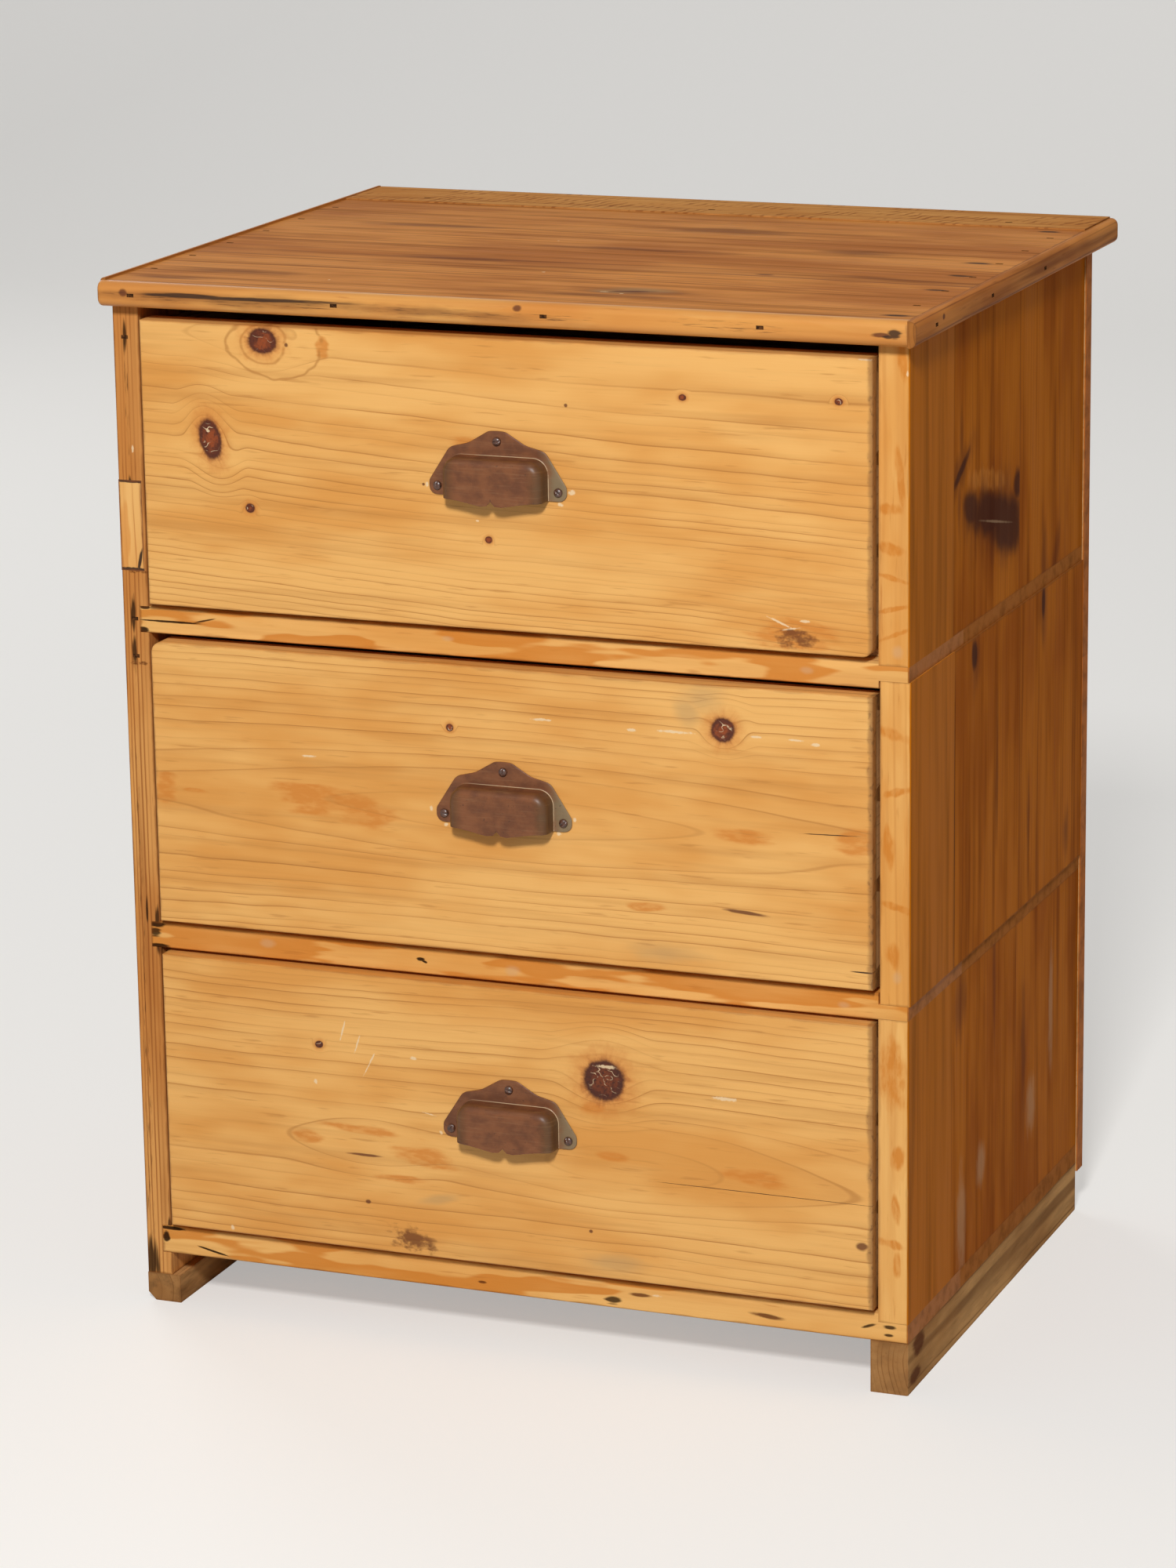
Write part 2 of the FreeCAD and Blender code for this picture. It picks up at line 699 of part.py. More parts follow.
def handle_screws(label, x, y, z):
    """Three slotted screws with upright heads, as a group."""
    body = piece(label, x, y, z, groups=True)
    crown = "sheet + screw_head_height"
    tip = "screw_length - sheet"
    for across, up in screw_spots():
        sketch = sketch_on(body, "XY", (across, "0", up))
        outline(sketch, [("0", tip), ("screw_shank_radius", tip), ("screw_shank_radius", "-sheet"),
                         ("screw_head_radius", "-sheet"), ("screw_head_radius", f"-({crown})"),
                         ("0", f"-({crown})")])
        turned = body.newObject("PartDesign::Revolution", "turned")
        turned.Profile = sketch
        turned.ReferenceAxis = (sketch, ["V_Axis"])
        turned.Angle = 360
        doc.recompute()
    slots = sketch_on(body, "XZ", ("0", "0", crown))
    for across, up in screw_spots():
        rectangle(slots, f"{across} - slot_width / 2", f"{up} - screw_head_radius",
                  "slot_width", "2 * screw_head_radius")
    pocket(body, slots, "slot_depth")


# The whole chest

shelf("bottom", "foot_height", "bottom_board_thickness", "bottom_top_cut", None)
shelf("lower", LOWER_SHELF, "shelf_thickness", "lower_top_cut", "lower_under_cut")
shelf("upper", UPPER_SHELF, "shelf_thickness", "upper_top_cut", "upper_under_cut")
left_side()
right_side()
runners()
plank_middles = planked_back()
top()
nails(plank_middles)
drawer("lower_drawer", BOTTOM_TOP, "lower_bay", "lower_top_gap", None)
drawer("middle_drawer", LOWER_TOP, "middle_bay", "middle_top_gap", "upper left")
drawer("upper_drawer", UPPER_TOP, "upper_bay", "upper_top_gap", "lower right")

# Nail holes, cut with the nails themselves
bored("top_board", "top_nails", "nosing_nails")
bored("top_rear_strip", "top_nails")
bored("front_nosing", "nosing_nails")
bored("right_nosing", "nosing_nails")
bored("left_side_front", "top_nails", "side_nails")
bored("left_side_middle", "top_nails", "side_nails")
bored("left_side_rear", "top_nails", "side_nails", "back_nails")
for board_name, _, _ in SIDE_BOARDS:
    bored(f"right_upper_{board_name}", "top_nails")
for section_name in ("lower", "middle", "upper"):
    bored(f"right_{section_name}_rear", "back_nails")
for shelf_name in ("bottom", "lower", "upper"):
    bored(f"{shelf_name}_rail_board", "side_nails")
    bored(f"{shelf_name}_dust_board", "side_nails")
for plank_number in range(1, len(plank_middles) + 1):
    bored(f"back_plank_{plank_number}", "back_nails")
bored(f"back_plank_{len(plank_middles)}", "top_nails")
doc.recompute()

# Nothing is written unless every object is sound
for item in doc.Objects:
    if "Invalid" in item.State or "Error" in item.State:
        raise ValueError(f"{item.Label} failed: {item.State}")
for label, item in parts.items():
    if item.Shape.isNull() or not item.Shape.isValid() or not item.Shape.Solids:
        raise ValueError(f"{label} has no sound shape")

os.makedirs("parts", exist_ok=True)
for label, item in parts.items():
    item.Shape.exportStep(f"parts/{label}.step")
    print(f"{label}: {len(item.Shape.Solids)} solids, {item.Shape.Volume / 1000:.1f} cm3")
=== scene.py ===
"""The looks of a small pine chest with three drawers: old waxed pine, pressed cup pulls, cut nails.

Lengths are in metres, with two exceptions in millimetres: the lists of marks, which count along the grain
and across it from the low corner of a board's marked face, and the sections of the pulls and screws.
"""

from math import cos, pi, radians, sin

import bmesh
import bpy
import numpy as np
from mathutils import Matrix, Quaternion, Vector


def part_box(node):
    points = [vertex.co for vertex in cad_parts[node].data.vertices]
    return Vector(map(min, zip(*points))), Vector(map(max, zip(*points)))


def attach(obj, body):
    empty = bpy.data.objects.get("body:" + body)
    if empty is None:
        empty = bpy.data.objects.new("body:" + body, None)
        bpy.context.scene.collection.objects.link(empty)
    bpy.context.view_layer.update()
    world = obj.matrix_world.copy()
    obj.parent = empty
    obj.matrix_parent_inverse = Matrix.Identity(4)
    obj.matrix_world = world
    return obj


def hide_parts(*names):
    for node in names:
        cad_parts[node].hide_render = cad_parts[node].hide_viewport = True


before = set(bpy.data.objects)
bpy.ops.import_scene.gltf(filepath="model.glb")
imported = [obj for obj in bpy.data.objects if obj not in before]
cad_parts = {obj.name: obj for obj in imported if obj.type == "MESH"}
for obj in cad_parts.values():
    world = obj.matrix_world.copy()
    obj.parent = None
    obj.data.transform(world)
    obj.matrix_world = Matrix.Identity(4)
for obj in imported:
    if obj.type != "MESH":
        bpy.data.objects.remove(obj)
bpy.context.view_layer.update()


MM = 0.001


def add(name, data):
    """A new object in the scene."""
    new = bpy.data.objects.new(name, data)
    bpy.context.scene.collection.objects.link(new)
    return new


def paint(node, material):
    """Gives a CAD node its material."""
    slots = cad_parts[node].data.materials
    slots.clear()
    slots.append(material)


# Shader maths

class Value:
    """A socket that numbers and other sockets can be added to, multiplied by and so on."""

    def __init__(self, shader, socket):
        self.shader = shader
        self.socket = socket

    def __add__(self, other):
        return self.shader.math("ADD", self, other)

    def __sub__(self, other):
        return self.shader.math("SUBTRACT", self, other)

    def __mul__(self, other):
        return self.shader.math("MULTIPLY", self, other)

    def __truediv__(self, other):
        return self.shader.math("DIVIDE", self, other)

    def __pow__(self, other):
        return self.shader.math("POWER", self, other)

    def __radd__(self, other):
        return self.shader.math("ADD", other, self)

    def __rsub__(self, other):
        return self.shader.math("SUBTRACT", other, self)

    def __rmul__(self, other):
        return self.shader.math("MULTIPLY", other, self)

    def __neg__(self):
        return self.shader.math("MULTIPLY", self, -1.0)

    def __abs__(self):
        return self.shader.math("ABSOLUTE", self)


class Shader:
    """A material and the nodes that make its surface."""

    def __init__(self, name):
        self.material = bpy.data.materials.new(name)
        self.material.use_nodes = True
        self.tree = self.material.node_tree
        self.surface = self.tree.nodes["Principled BSDF"]

    def node(self, kind, inputs, output=0, **settings):
        """Adds a node: its settings first, then the numbers or sockets that feed it."""
        new = self.tree.nodes.new(kind)
        for name, setting in settings.items():
            setattr(new, name, setting)
        for key, source in inputs.items():
            self.feed(new.inputs[key], source)
        return Value(self, new.outputs[output])

    def feed(self, target, source):
        """Links a socket to an input, or sets the input's own number."""
        if isinstance(source, Value):
            self.tree.links.new(source.socket, target)
        else:
            target.default_value = source

    def math(self, operation, *sources):
        return self.node("ShaderNodeMath", dict(enumerate(sources)), operation=operation)

    def least(self, first, *others):
        """The least of some values, of which the first may be None."""
        for other in others:
            first = other if first is None else self.math("MINIMUM", first, other)
        return first

    def ramp(self, source, low, high, at_low=0.0, at_high=1.0):
        """Goes smoothly from at_low to at_high while the source goes from low to high."""
        return self.node("ShaderNodeMapRange", {"Value": source, "From Min": low, "From Max": high,
                                                "To Min": at_low, "To Max": at_high},
                         interpolation_type="SMOOTHSTEP")

    def place(self, vector, location=(0, 0, 0), rotation=(0, 0, 0), scale=(1, 1, 1), kind="POINT"):
        return self.node("ShaderNodeMapping", {"Vector": vector, "Location": location,
                                               "Rotation": rotation, "Scale": scale}, vector_type=kind)

    def split(self, vector):
        """The three parts of a vector."""
        parts = self.tree.nodes.new("ShaderNodeSeparateXYZ")
        self.feed(parts.inputs[0], vector)
        return [Value(self, part) for part in parts.outputs]

    def length(self, vector):
        return self.node("ShaderNodeVectorMath", {0: vector}, output="Value", operation="LENGTH")

    def noise(self, vector, stretch, seed=0.0, detail=2.0, roughness=0.5):
        """Noise with its own scale along each axis, from about 0.2 to 0.8."""
        moved = self.place(vector, location=(seed * 3.7, seed * 5.3, seed * 7.1), scale=stretch)
        return self.node("ShaderNodeTexNoise", {"Vector": moved, "Scale": 1.0, "Detail": detail,
                                                "Roughness": roughness})

    def mix(self, amount, first, second, blend="MIX"):
        """Blends two colours, each a socket or an (r, g, b) triple."""
        colours = {key: source if isinstance(source, Value) else (*source, 1.0)
                   for key, source in ((6, first), (7, second))}
        return self.node("ShaderNodeMix", {0: amount, **colours}, output=2, data_type="RGBA",
                         blend_type=blend)

    def finish(self, colour, roughness, height=None, bump=0.5, **plain):
        """Feeds the surface; height is in metres."""
        self.feed(self.surface.inputs["Base Color"], colour if isinstance(colour, Value) else (*colour, 1.0))
        self.feed(self.surface.inputs["Roughness"], roughness)
        for name, number in plain.items():
            self.feed(self.surface.inputs[name], number)
        if height is not None:
            normal = self.node("ShaderNodeBump", {"Strength": bump, "Distance": 1.0, "Height": height})
            self.feed(self.surface.inputs["Normal"], normal)
        return self.material


def srgb(red, green, blue):
    """A colour as it is read off a screen, 0 to 255, turned into light."""
    shares = (red / 255, green / 255, blue / 255)
    return tuple(c / 12.92 if c <= 0.04045 else ((c + 0.055) / 1.055) ** 2.4 for c in shares)


# Boards

AXES = {"x": 0, "y": 1, "z": 2}
KNOT_RED = srgb(142, 66, 26)
KNOT_BROWN = srgb(92, 40, 18)
KNOT_EDGE = srgb(58, 24, 12)
HALO = srgb(202, 122, 50)
SOOT = srgb(44, 24, 12)
STAIN = srgb(92, 38, 10)
SMOKE = srgb(176, 144, 98)
CHALK = srgb(236, 208, 166)
AMBER = srgb(208, 128, 48)
GRIME = srgb(120, 64, 26)
END_BROWN = srgb(132, 88, 48)
HAZE = srgb(206, 168, 128)
RESIN = srgb(64, 24, 6)
BURN = srgb(98, 50, 22)
SOIL = srgb(92, 66, 42)
SAW_BROWN = srgb(122, 58, 26)
FIBRE_SHADE = (0.93, 0.78, 0.55)
SAW_SLANT = 0.35
CRACK_DEPTH = 1.0 * MM

# Each kind of blot: its colour and share, how soft and how frayed its edge is, and the noise that frays it
BLOTS = {
    "stains": (STAIN, 0.55, 1.6, 1.0, (26, 110, 110)),
    "resin": (RESIN, 0.86, 0.8, 0.5, (30, 70, 70)),
    # haze: pale smudges, and on the right side's big knot a painted highlight line
    "haze": (HAZE, 0.4, 1.2, 0.6, (60, 160, 160)),
    "grey": (SMOKE, 0.45, 1.5, 0.8, (30, 90, 90)),
    "specks": (KNOT_BROWN, 0.85, 0.7, 0.4, (90, 300, 300)),
    "black": (SOOT, 0.9, 0.7, 0.9, (30, 460, 460)),
    "cracks": (SOOT, 0.96, 0.5, 0.5, (80, 300, 300)),
    "white": (CHALK, 0.8, 0.6, 0.9, (450, 450, 450)),
}
# Each kind of area with strokes or grains in it: their colour, their noise, and how strong it has to be
STROKES = {
    "dashes": (SOOT, (45, 900, 900), 0.5),
    "hatched": (BURN, (420, 260, 260), 0.36),
    "burrs": (STAIN, (80, 110, 110), 0.36),
}


class Board:
    """A board's box, the way that its grain runs, and the face that its marks lie on.

    along is the axis of the grain, across the other axis of the marked face, and the third one runs through
    the board. side is -1 or 1, for the end of that axis at which the marked face lies.
    """

    def __init__(self, node, along, across, side):
        low, high = (np.array(corner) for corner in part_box(node))
        self.axes = (AXES[along], AXES[across], 3 - AXES[along] - AXES[across])
        self.side = side
        self.middle = [float((low[axis] + high[axis]) / 2) for axis in self.axes]
        self.half = [float((high[axis] - low[axis]) / 2) for axis in self.axes]


class Wood(Shader):
    """Pine on one board: growth rings about a pith behind the marked face, bent round its knots."""

    def __init__(self, name, board, seed):
        super().__init__(name)
        self.board = board
        self.seed = seed
        raw = self.split(self.node("ShaderNodeTexCoord", {}, output="Object"))
        self.local = [raw[axis] - middle for axis, middle in zip(board.axes, board.middle)]
        if board.side < 0:
            self.local[2] = -self.local[2]
        self.point = self.node("ShaderNodeCombineXYZ", dict(enumerate(self.local)))

    def spot(self, mark, deep=8.0):
        """A vector that is 1 long on the outline of a mark, in the mark's own directions.

        A mark is (along, across, half length, half height) in millimetres, and may end with its tilt.
        """
        along, across, half_length, half_height, *tilt = mark
        centre = (along * MM - self.board.half[0], across * MM - self.board.half[1], self.board.half[2])
        size = (half_length * MM, half_height * MM, deep * MM)
        return self.place(self.point, centre, (0, 0, radians(tilt[0]) if tilt else 0.0), size, "TEXTURE")

    def blotch(self, marks, soft, ragged, grain):
        """A mask of marks, with edges frayed along the grain."""
        nearest = self.least(None, *[self.length(self.spot(mark)) for mark in marks])
        edge = nearest + (self.noise(self.point, grain, self.seed + 4, 3.0) - 0.5) * (2 * ragged)
        return self.ramp(edge, 1.0 + soft / 2, 1.0 - soft / 2)

    def knots(self, marks):
        """How near the nearest knot is in its own sizes, how far lines give way to it, and its rays."""
        core, push, rays = None, 0.0, 0.0
        for mark in marks:
            vector = self.spot(mark, deep=400.0)
            reach = self.length(vector)
            near = self.ramp(reach, 3.4, 0.5)
            push = self.split(vector)[1] * near * (mark[3] * 0.8 * MM) + push
            if mark[3] > 4:
                way = self.node("ShaderNodeVectorMath", {0: vector}, operation="NORMALIZE")
                ray = self.noise(self.place(way, scale=(6, 6, 0.1)), (1, 1, 1), mark[0], 3.0, 0.7) - 0.5
                rays = ray * self.ramp(reach, 3.0, 1.2) + rays
            core = self.least(core, reach)
        return core, push, rays

    def rings(self, pith, ring, bow, wave, lean, swells, core, push):
        """The dark line that ends each year's growth, the soft band before it, and the way across the rings.

        turns = r / ring[0] * (1 + r / ring[1]), with r the distance from the pith in millimetres. Each year's
        line has its own place in the year and its own strength, by chance.
        """
        along, across, deep = self.local
        point, seed = self.point, self.seed
        shift = across - (pith[0] * MM - self.board.half[1]) + along * lean
        shift = shift + (self.noise(point, (3.2, 6, 6), seed, 1.0) - 0.5) * (bow * 2 * MM)
        shift = shift + (self.noise(point, (15, 26, 26), seed + 1, 2.0) - 0.5) * (wave * 2 * MM) - push
        behind = (self.board.half[2] + pith[1] * MM) - deep
        radius = (shift * shift + behind * behind) ** 0.5 * 1000.0
        turns = radius * (1.0 / ring[0]) * (1.0 + radius * (1.0 / ring[1]))
        turns = turns + (self.noise(point, (0.7, 34, 34), seed + 2, 1.0) - 0.5) * 1.2
        for mark, count in swells:
            turns = turns + self.ramp(self.length(self.spot(mark, deep=400.0)), 1.0, 0.0, 0.0, count)
        if core is not None:
            turns = turns + self.ramp(core, 2.6, 0.8) * 0.7
        year = self.math("FLOOR", turns)
        chance = self.node("ShaderNodeTexWhiteNoise", {"W": year}, noise_dimensions="1D")
        phase = turns - year
        late = chance * 0.5 + 0.42
        gap = (phase - late) / (radius * (2.0 / ring[0] / ring[1]) + 1.0 / ring[0])
        fade = self.ramp(self.noise(point, (6, 30, 30), seed + 3, 2.0), 0.3, 0.62, 0.3, 1.0)
        strength = (self.math("FRACT", chance * 7.31) * 0.75 + 0.25) * fade
        fine = self.ramp(abs(gap), 0.5, 0.08) * strength
        broad = self.ramp(phase - late, -0.4, 0.0) * self.ramp(gap, 0.35, 0.0) * strength
        return fine, broad

    def edge_distance(self):
        """Metres from the nearest edge of the board, on any of its faces."""
        first, second, third = (half - abs(local) for half, local in zip(self.board.half, self.local))
        low = self.math("MINIMUM", first, second)
        high = self.math("MAXIMUM", first, second)
        return self.math("MAXIMUM", low, self.math("MINIMUM", high, third))

    def pine(self, tones, pith=(80, 35), ring=(15, 120), bow=7, wave=1.6, lean=0.0, swells=(), loops=(),
             knots=(), char=0.0, flames=0.0, amber=(), lines=1.0, wear=0.35, roughness=0.42, sheen=0.3,
             saw=0.0, dirt=0.0, streaks=0.3, worn_end=0.0, outer=None, **marks):
        """The whole surface of a pine board.

        tones: (early wood, late wood, drift) colours. pith: its place across the face, and its depth behind
        it. ring: width of the first ring, and the radius that bends the count. bow, wave: how far rings
        wander in long and in short waves. lean: their slope. swells: (mark, rings) where the pith dips or
        rises. loops: single rings drawn on the outline of a mark. char: how black the knots are. flames,
        streaks, lines, wear, saw, dirt: shares of orange tongues, dark streaks, ring lines, grimy edges, saw
        marks and soil. amber: orange blots. worn_end: share of the darker band at the end to the
        right, end grain and chips with painted shade of the rounded end. outer: (way, colour) for the other
        colour of the board's far face along (0) or across (1). marks: lists of marks by their kind in BLOTS
        and STROKES.
        """
        early, late, drift = tones
        seed, point = self.seed, self.point
        core, push, rays = self.knots(knots) if knots else (None, 0.0, 0.0)
        fine, broad = self.rings(pith, ring, bow, wave, lean, swells, core, push)

        fibre = self.noise(point, (16, 1100, 1100), seed + 5, 2.0, 0.7)
        streak = self.noise(point, (4, 90, 90), seed + 6, 3.0, 0.6)
        cloud = self.noise(point, (5, 16, 16), seed + 7, 3.0, 0.6)
        flecks = self.ramp(self.noise(point, (26, 330, 330), seed + 10, 2.0, 0.6), 0.62, 0.76)
        colour = self.mix(self.ramp(cloud, 0.38, 0.66), early, drift)
        colour = self.mix(self.ramp(streak, 0.46, 0.76) * streaks, colour, late)
        if flames:
            tongue = self.noise(point, (6, 38, 38), seed + 11, 3.0, 0.5) + broad * 0.03
            edge = self.ramp(tongue, 0.5, 0.53) * self.ramp(tongue, 0.74, 0.54, 0.5, 1.0)
            colour = self.mix(edge * (0.8 * flames), colour, AMBER)
        if amber:
            mask = self.blotch(amber, 0.7, 1.0, (34, 150, 150))
            mottle = self.ramp(self.noise(point, (90, 260, 260), seed + 12, 3.0), 0.34, 0.6, 0.5, 1.0)
            colour = self.mix(mask * mottle * 0.8, colour, AMBER)
        for part, share in ((broad, 0.3), (fine, 0.8), (flecks, 0.4)):
            colour = self.mix(part * (share * lines), colour, late)
        colour = self.mix(self.ramp(fibre, 0.3, 0.75) * 0.16, colour, FIBRE_SHADE, blend="MULTIPLY")
        for mark in loops:
            wobble = (self.noise(point, (36, 50, 50), seed + 9, 2.0) - 0.5) * 0.6
            gap = abs(self.length(self.spot(mark)) + wobble - 1.0) * min(mark[2], mark[3])
            colour = self.mix(self.ramp(gap, 1.4, 0.1) * self.ramp(streak, 0.3, 0.5) * 0.6, colour, late)
        height = fibre * (0.04 * MM) - fine * (0.05 * MM)
        gloss = roughness + (streak - 0.5) * 0.24 + (cloud - 0.5) * 0.2

        if knots:
            colour, height, gloss = self.paint_knots(colour, height, gloss, core, rays, char)
        colour, height = self.paint_marks(colour, height, marks)
        colour = self.paint_edges(colour, streak, wear, worn_end, outer)
        if dirt:
            soil = self.ramp(self.noise(point, (12, 60, 60), seed + 14, 4.0, 0.65), 0.42, 0.66)
            colour = self.mix(soil * dirt, colour, SOIL)
        if saw:
            kerf = self.node("ShaderNodeTexWave", {"Vector": self.place(point, rotation=(0, 0, SAW_SLANT)),
                                                   "Scale": 38.0, "Distortion": 5.0, "Detail": 2.0,
                                                   "Detail Scale": 1.5}, output="Fac")
            patch = self.ramp(self.noise(point, (26, 60, 20), seed + 18, 2.0), 0.42, 0.66)
            colour = self.mix(self.ramp(kerf, 0.55, 0.95) * patch * (0.6 * saw), colour, SAW_BROWN)
            height = height + kerf * (0.2 * saw * MM)
            gloss = gloss + 0.15 * saw
        return self.finish(colour, gloss, height, bump=0.8, **{"Specular IOR Level": sheen})

    def paint_knots(self, colour, height, gloss, core, rays, char):
        """Knots with a red heart, dark rims and pale cracks, each in an orange halo."""
        point, seed = self.point, self.seed
        lump = self.noise(point, (150, 150, 150), seed + 13, 3.0, 0.6) - 0.5
        grit = self.noise(point, (520, 520, 520), seed + 15, 3.0, 0.6)
        border = core + lump * 0.3 + rays * 0.16
        inside = self.ramp(border, 1.1, 0.86)
        age = self.math("PINGPONG", core * 3.4 + lump * 1.6, 0.5) * 2.0
        heart = self.mix(self.ramp(border + lump * 1.6 + age * 0.2, 0.25, 0.95), KNOT_RED, KNOT_BROWN)
        heart = self.mix(self.ramp(grit, 0.5, 0.7) * 0.5 + char * 0.45, heart, KNOT_EDGE)
        heart = self.mix(self.ramp(border, 0.7, 0.95) * 0.35, heart, KNOT_EDGE)
        split = abs(self.noise(point, (110, 150, 150), seed + 19, 1.0) - 0.5)
        glint = self.ramp(split, 0.02, 0.006) * self.ramp(border, 0.86, 0.6) * self.ramp(lump, -0.06, 0.05)
        heart = self.mix(glint * 0.8, heart, CHALK)
        colour = self.mix(self.ramp(core + rays * 0.8 + lump * 1.4, 2.2, 0.95) * 0.5, colour, HALO)
        colour = self.mix(self.ramp(core + rays * 0.4 + lump * 0.8, 1.3, 1.0) * 0.4, colour, KNOT_RED)
        colour = self.mix(inside, colour, heart)
        height = height * (1.0 - inside) + inside * grit * (0.35 * MM)
        return colour, height, gloss - inside * 0.2

    def paint_marks(self, colour, height, marks):
        """The marks of each kind, in the order of the two tables; cracks are also sunk."""
        for kind, (tint, amount, soft, ragged, grain) in BLOTS.items():
            if marks.get(kind):
                mask = self.blotch(marks[kind], soft, ragged, grain)
                colour = self.mix(mask * amount, colour, tint)
                if kind == "cracks":
                    height = height - mask * CRACK_DEPTH
        for kind, (tint, grain, low) in STROKES.items():
            if marks.get(kind):
                area = self.blotch(marks[kind], 1.0, 0.5, (20, 200, 200))
                scratch = self.noise(self.point, grain, self.seed + 16, 3.0, 0.65) + (area - 1.0) * 0.3
                colour = self.mix(self.ramp(scratch, low, low + 0.22) * area * 0.8, colour, tint)
        return colour, height

    def paint_edges(self, colour, streak, wear, worn_end, outer):
        """Grime along the edges, brown end grain, a darker band at the right end (end grain and chips, partly
        painted shade), and the far face's other colour, which on the right fronts is the side's deep amber,
        partly painted shade.
        """
        half, point, seed = self.board.half, self.point, self.seed
        along = self.local[0]
        edge = self.edge_distance()
        ragged = self.noise(point, (40, 80, 80), seed + 8, 3.0)
        grime = self.ramp(edge + (ragged - 0.5) * (4 * MM), 1.8 * MM, 0.2 * MM)
        colour = self.mix(grime * wear, colour, GRIME)
        ends = self.ramp(half[0] - abs(along), 0.5 * MM, 0.1 * MM)
        colour = self.mix(ends * 0.55, colour, END_BROWN)
        # A darker band at the end to the right: end grain and chips, partly painted shade of the rounded end.
        if worn_end:
            worn_and_shaded_band = self.ramp(half[0] - along + (ragged - 0.5) * (5 * MM), 4.5 * MM, 1.5 * MM)
            colour = self.mix(worn_and_shaded_band * worn_end, colour, END_BROWN)
            chips = self.ramp(self.noise(point, (320, 200, 200), seed + 17, 2.0), 0.56, 0.66)
            colour = self.mix(worn_and_shaded_band * chips * 0.35, colour, SOOT)
        if outer:
            way, shade = outer
            far = self.ramp(self.local[way] + (ragged - 0.5) * (1.2 * MM), half[way] - 1.3 * MM,
                            half[way] - 0.3 * MM)
            darker = tuple(0.5 * part for part in shade)
            grainy = self.mix(self.ramp(streak, 0.4, 0.76) * 0.7, shade, darker)
            colour = self.mix(far, colour, grainy)
        return colour


FRONT_TONES = (srgb(236, 180, 104), srgb(174, 114, 50), srgb(220, 154, 76))
STILE_TONES = (srgb(238, 184, 110), srgb(184, 112, 48), srgb(226, 162, 86))
NOSING_TONES = (srgb(224, 162, 86), srgb(170, 102, 44), srgb(210, 140, 68))
OLD_TONES = (srgb(218, 156, 88), srgb(142, 80, 36), srgb(198, 130, 66))
# The right side's amber is its own colour made deeper and more orange as the side looked in shade: partly
# painted shade.
SHADED_SIDE_TONES = (srgb(194, 110, 14), srgb(126, 58, 6), srgb(168, 88, 10))
TOP_TONES = (srgb(220, 144, 66), srgb(124, 66, 26), srgb(188, 114, 50))
BARE_TONES = (srgb(214, 174, 118), srgb(166, 120, 70), srgb(196, 152, 96))
RUNNER_TONES = (srgb(212, 162, 104), srgb(124, 82, 46), srgb(174, 124, 74))
RAIL_END = srgb(180, 108, 44)
SHELF_END = srgb(176, 106, 46)
PLANK_END = srgb(190, 108, 40)


def dress(node, along, across, side, tones, **looks):
    """Gives a board its own pine. The seed, and the pith where none is given, come from the board's name."""
    seed = float(sum(ord(letter) * (place + 1) for place, letter in enumerate(node)) % 97)
    wood = Wood(node + "_pine", Board(node, along, across, side), seed)
    if "pith" not in looks:
        looks["pith"] = (wood.board.half[1] * 1000 * (0.4 + seed / 80), 18 + seed / 3)
    paint(node, wood.pine(tones, **looks))


# Drawer fronts

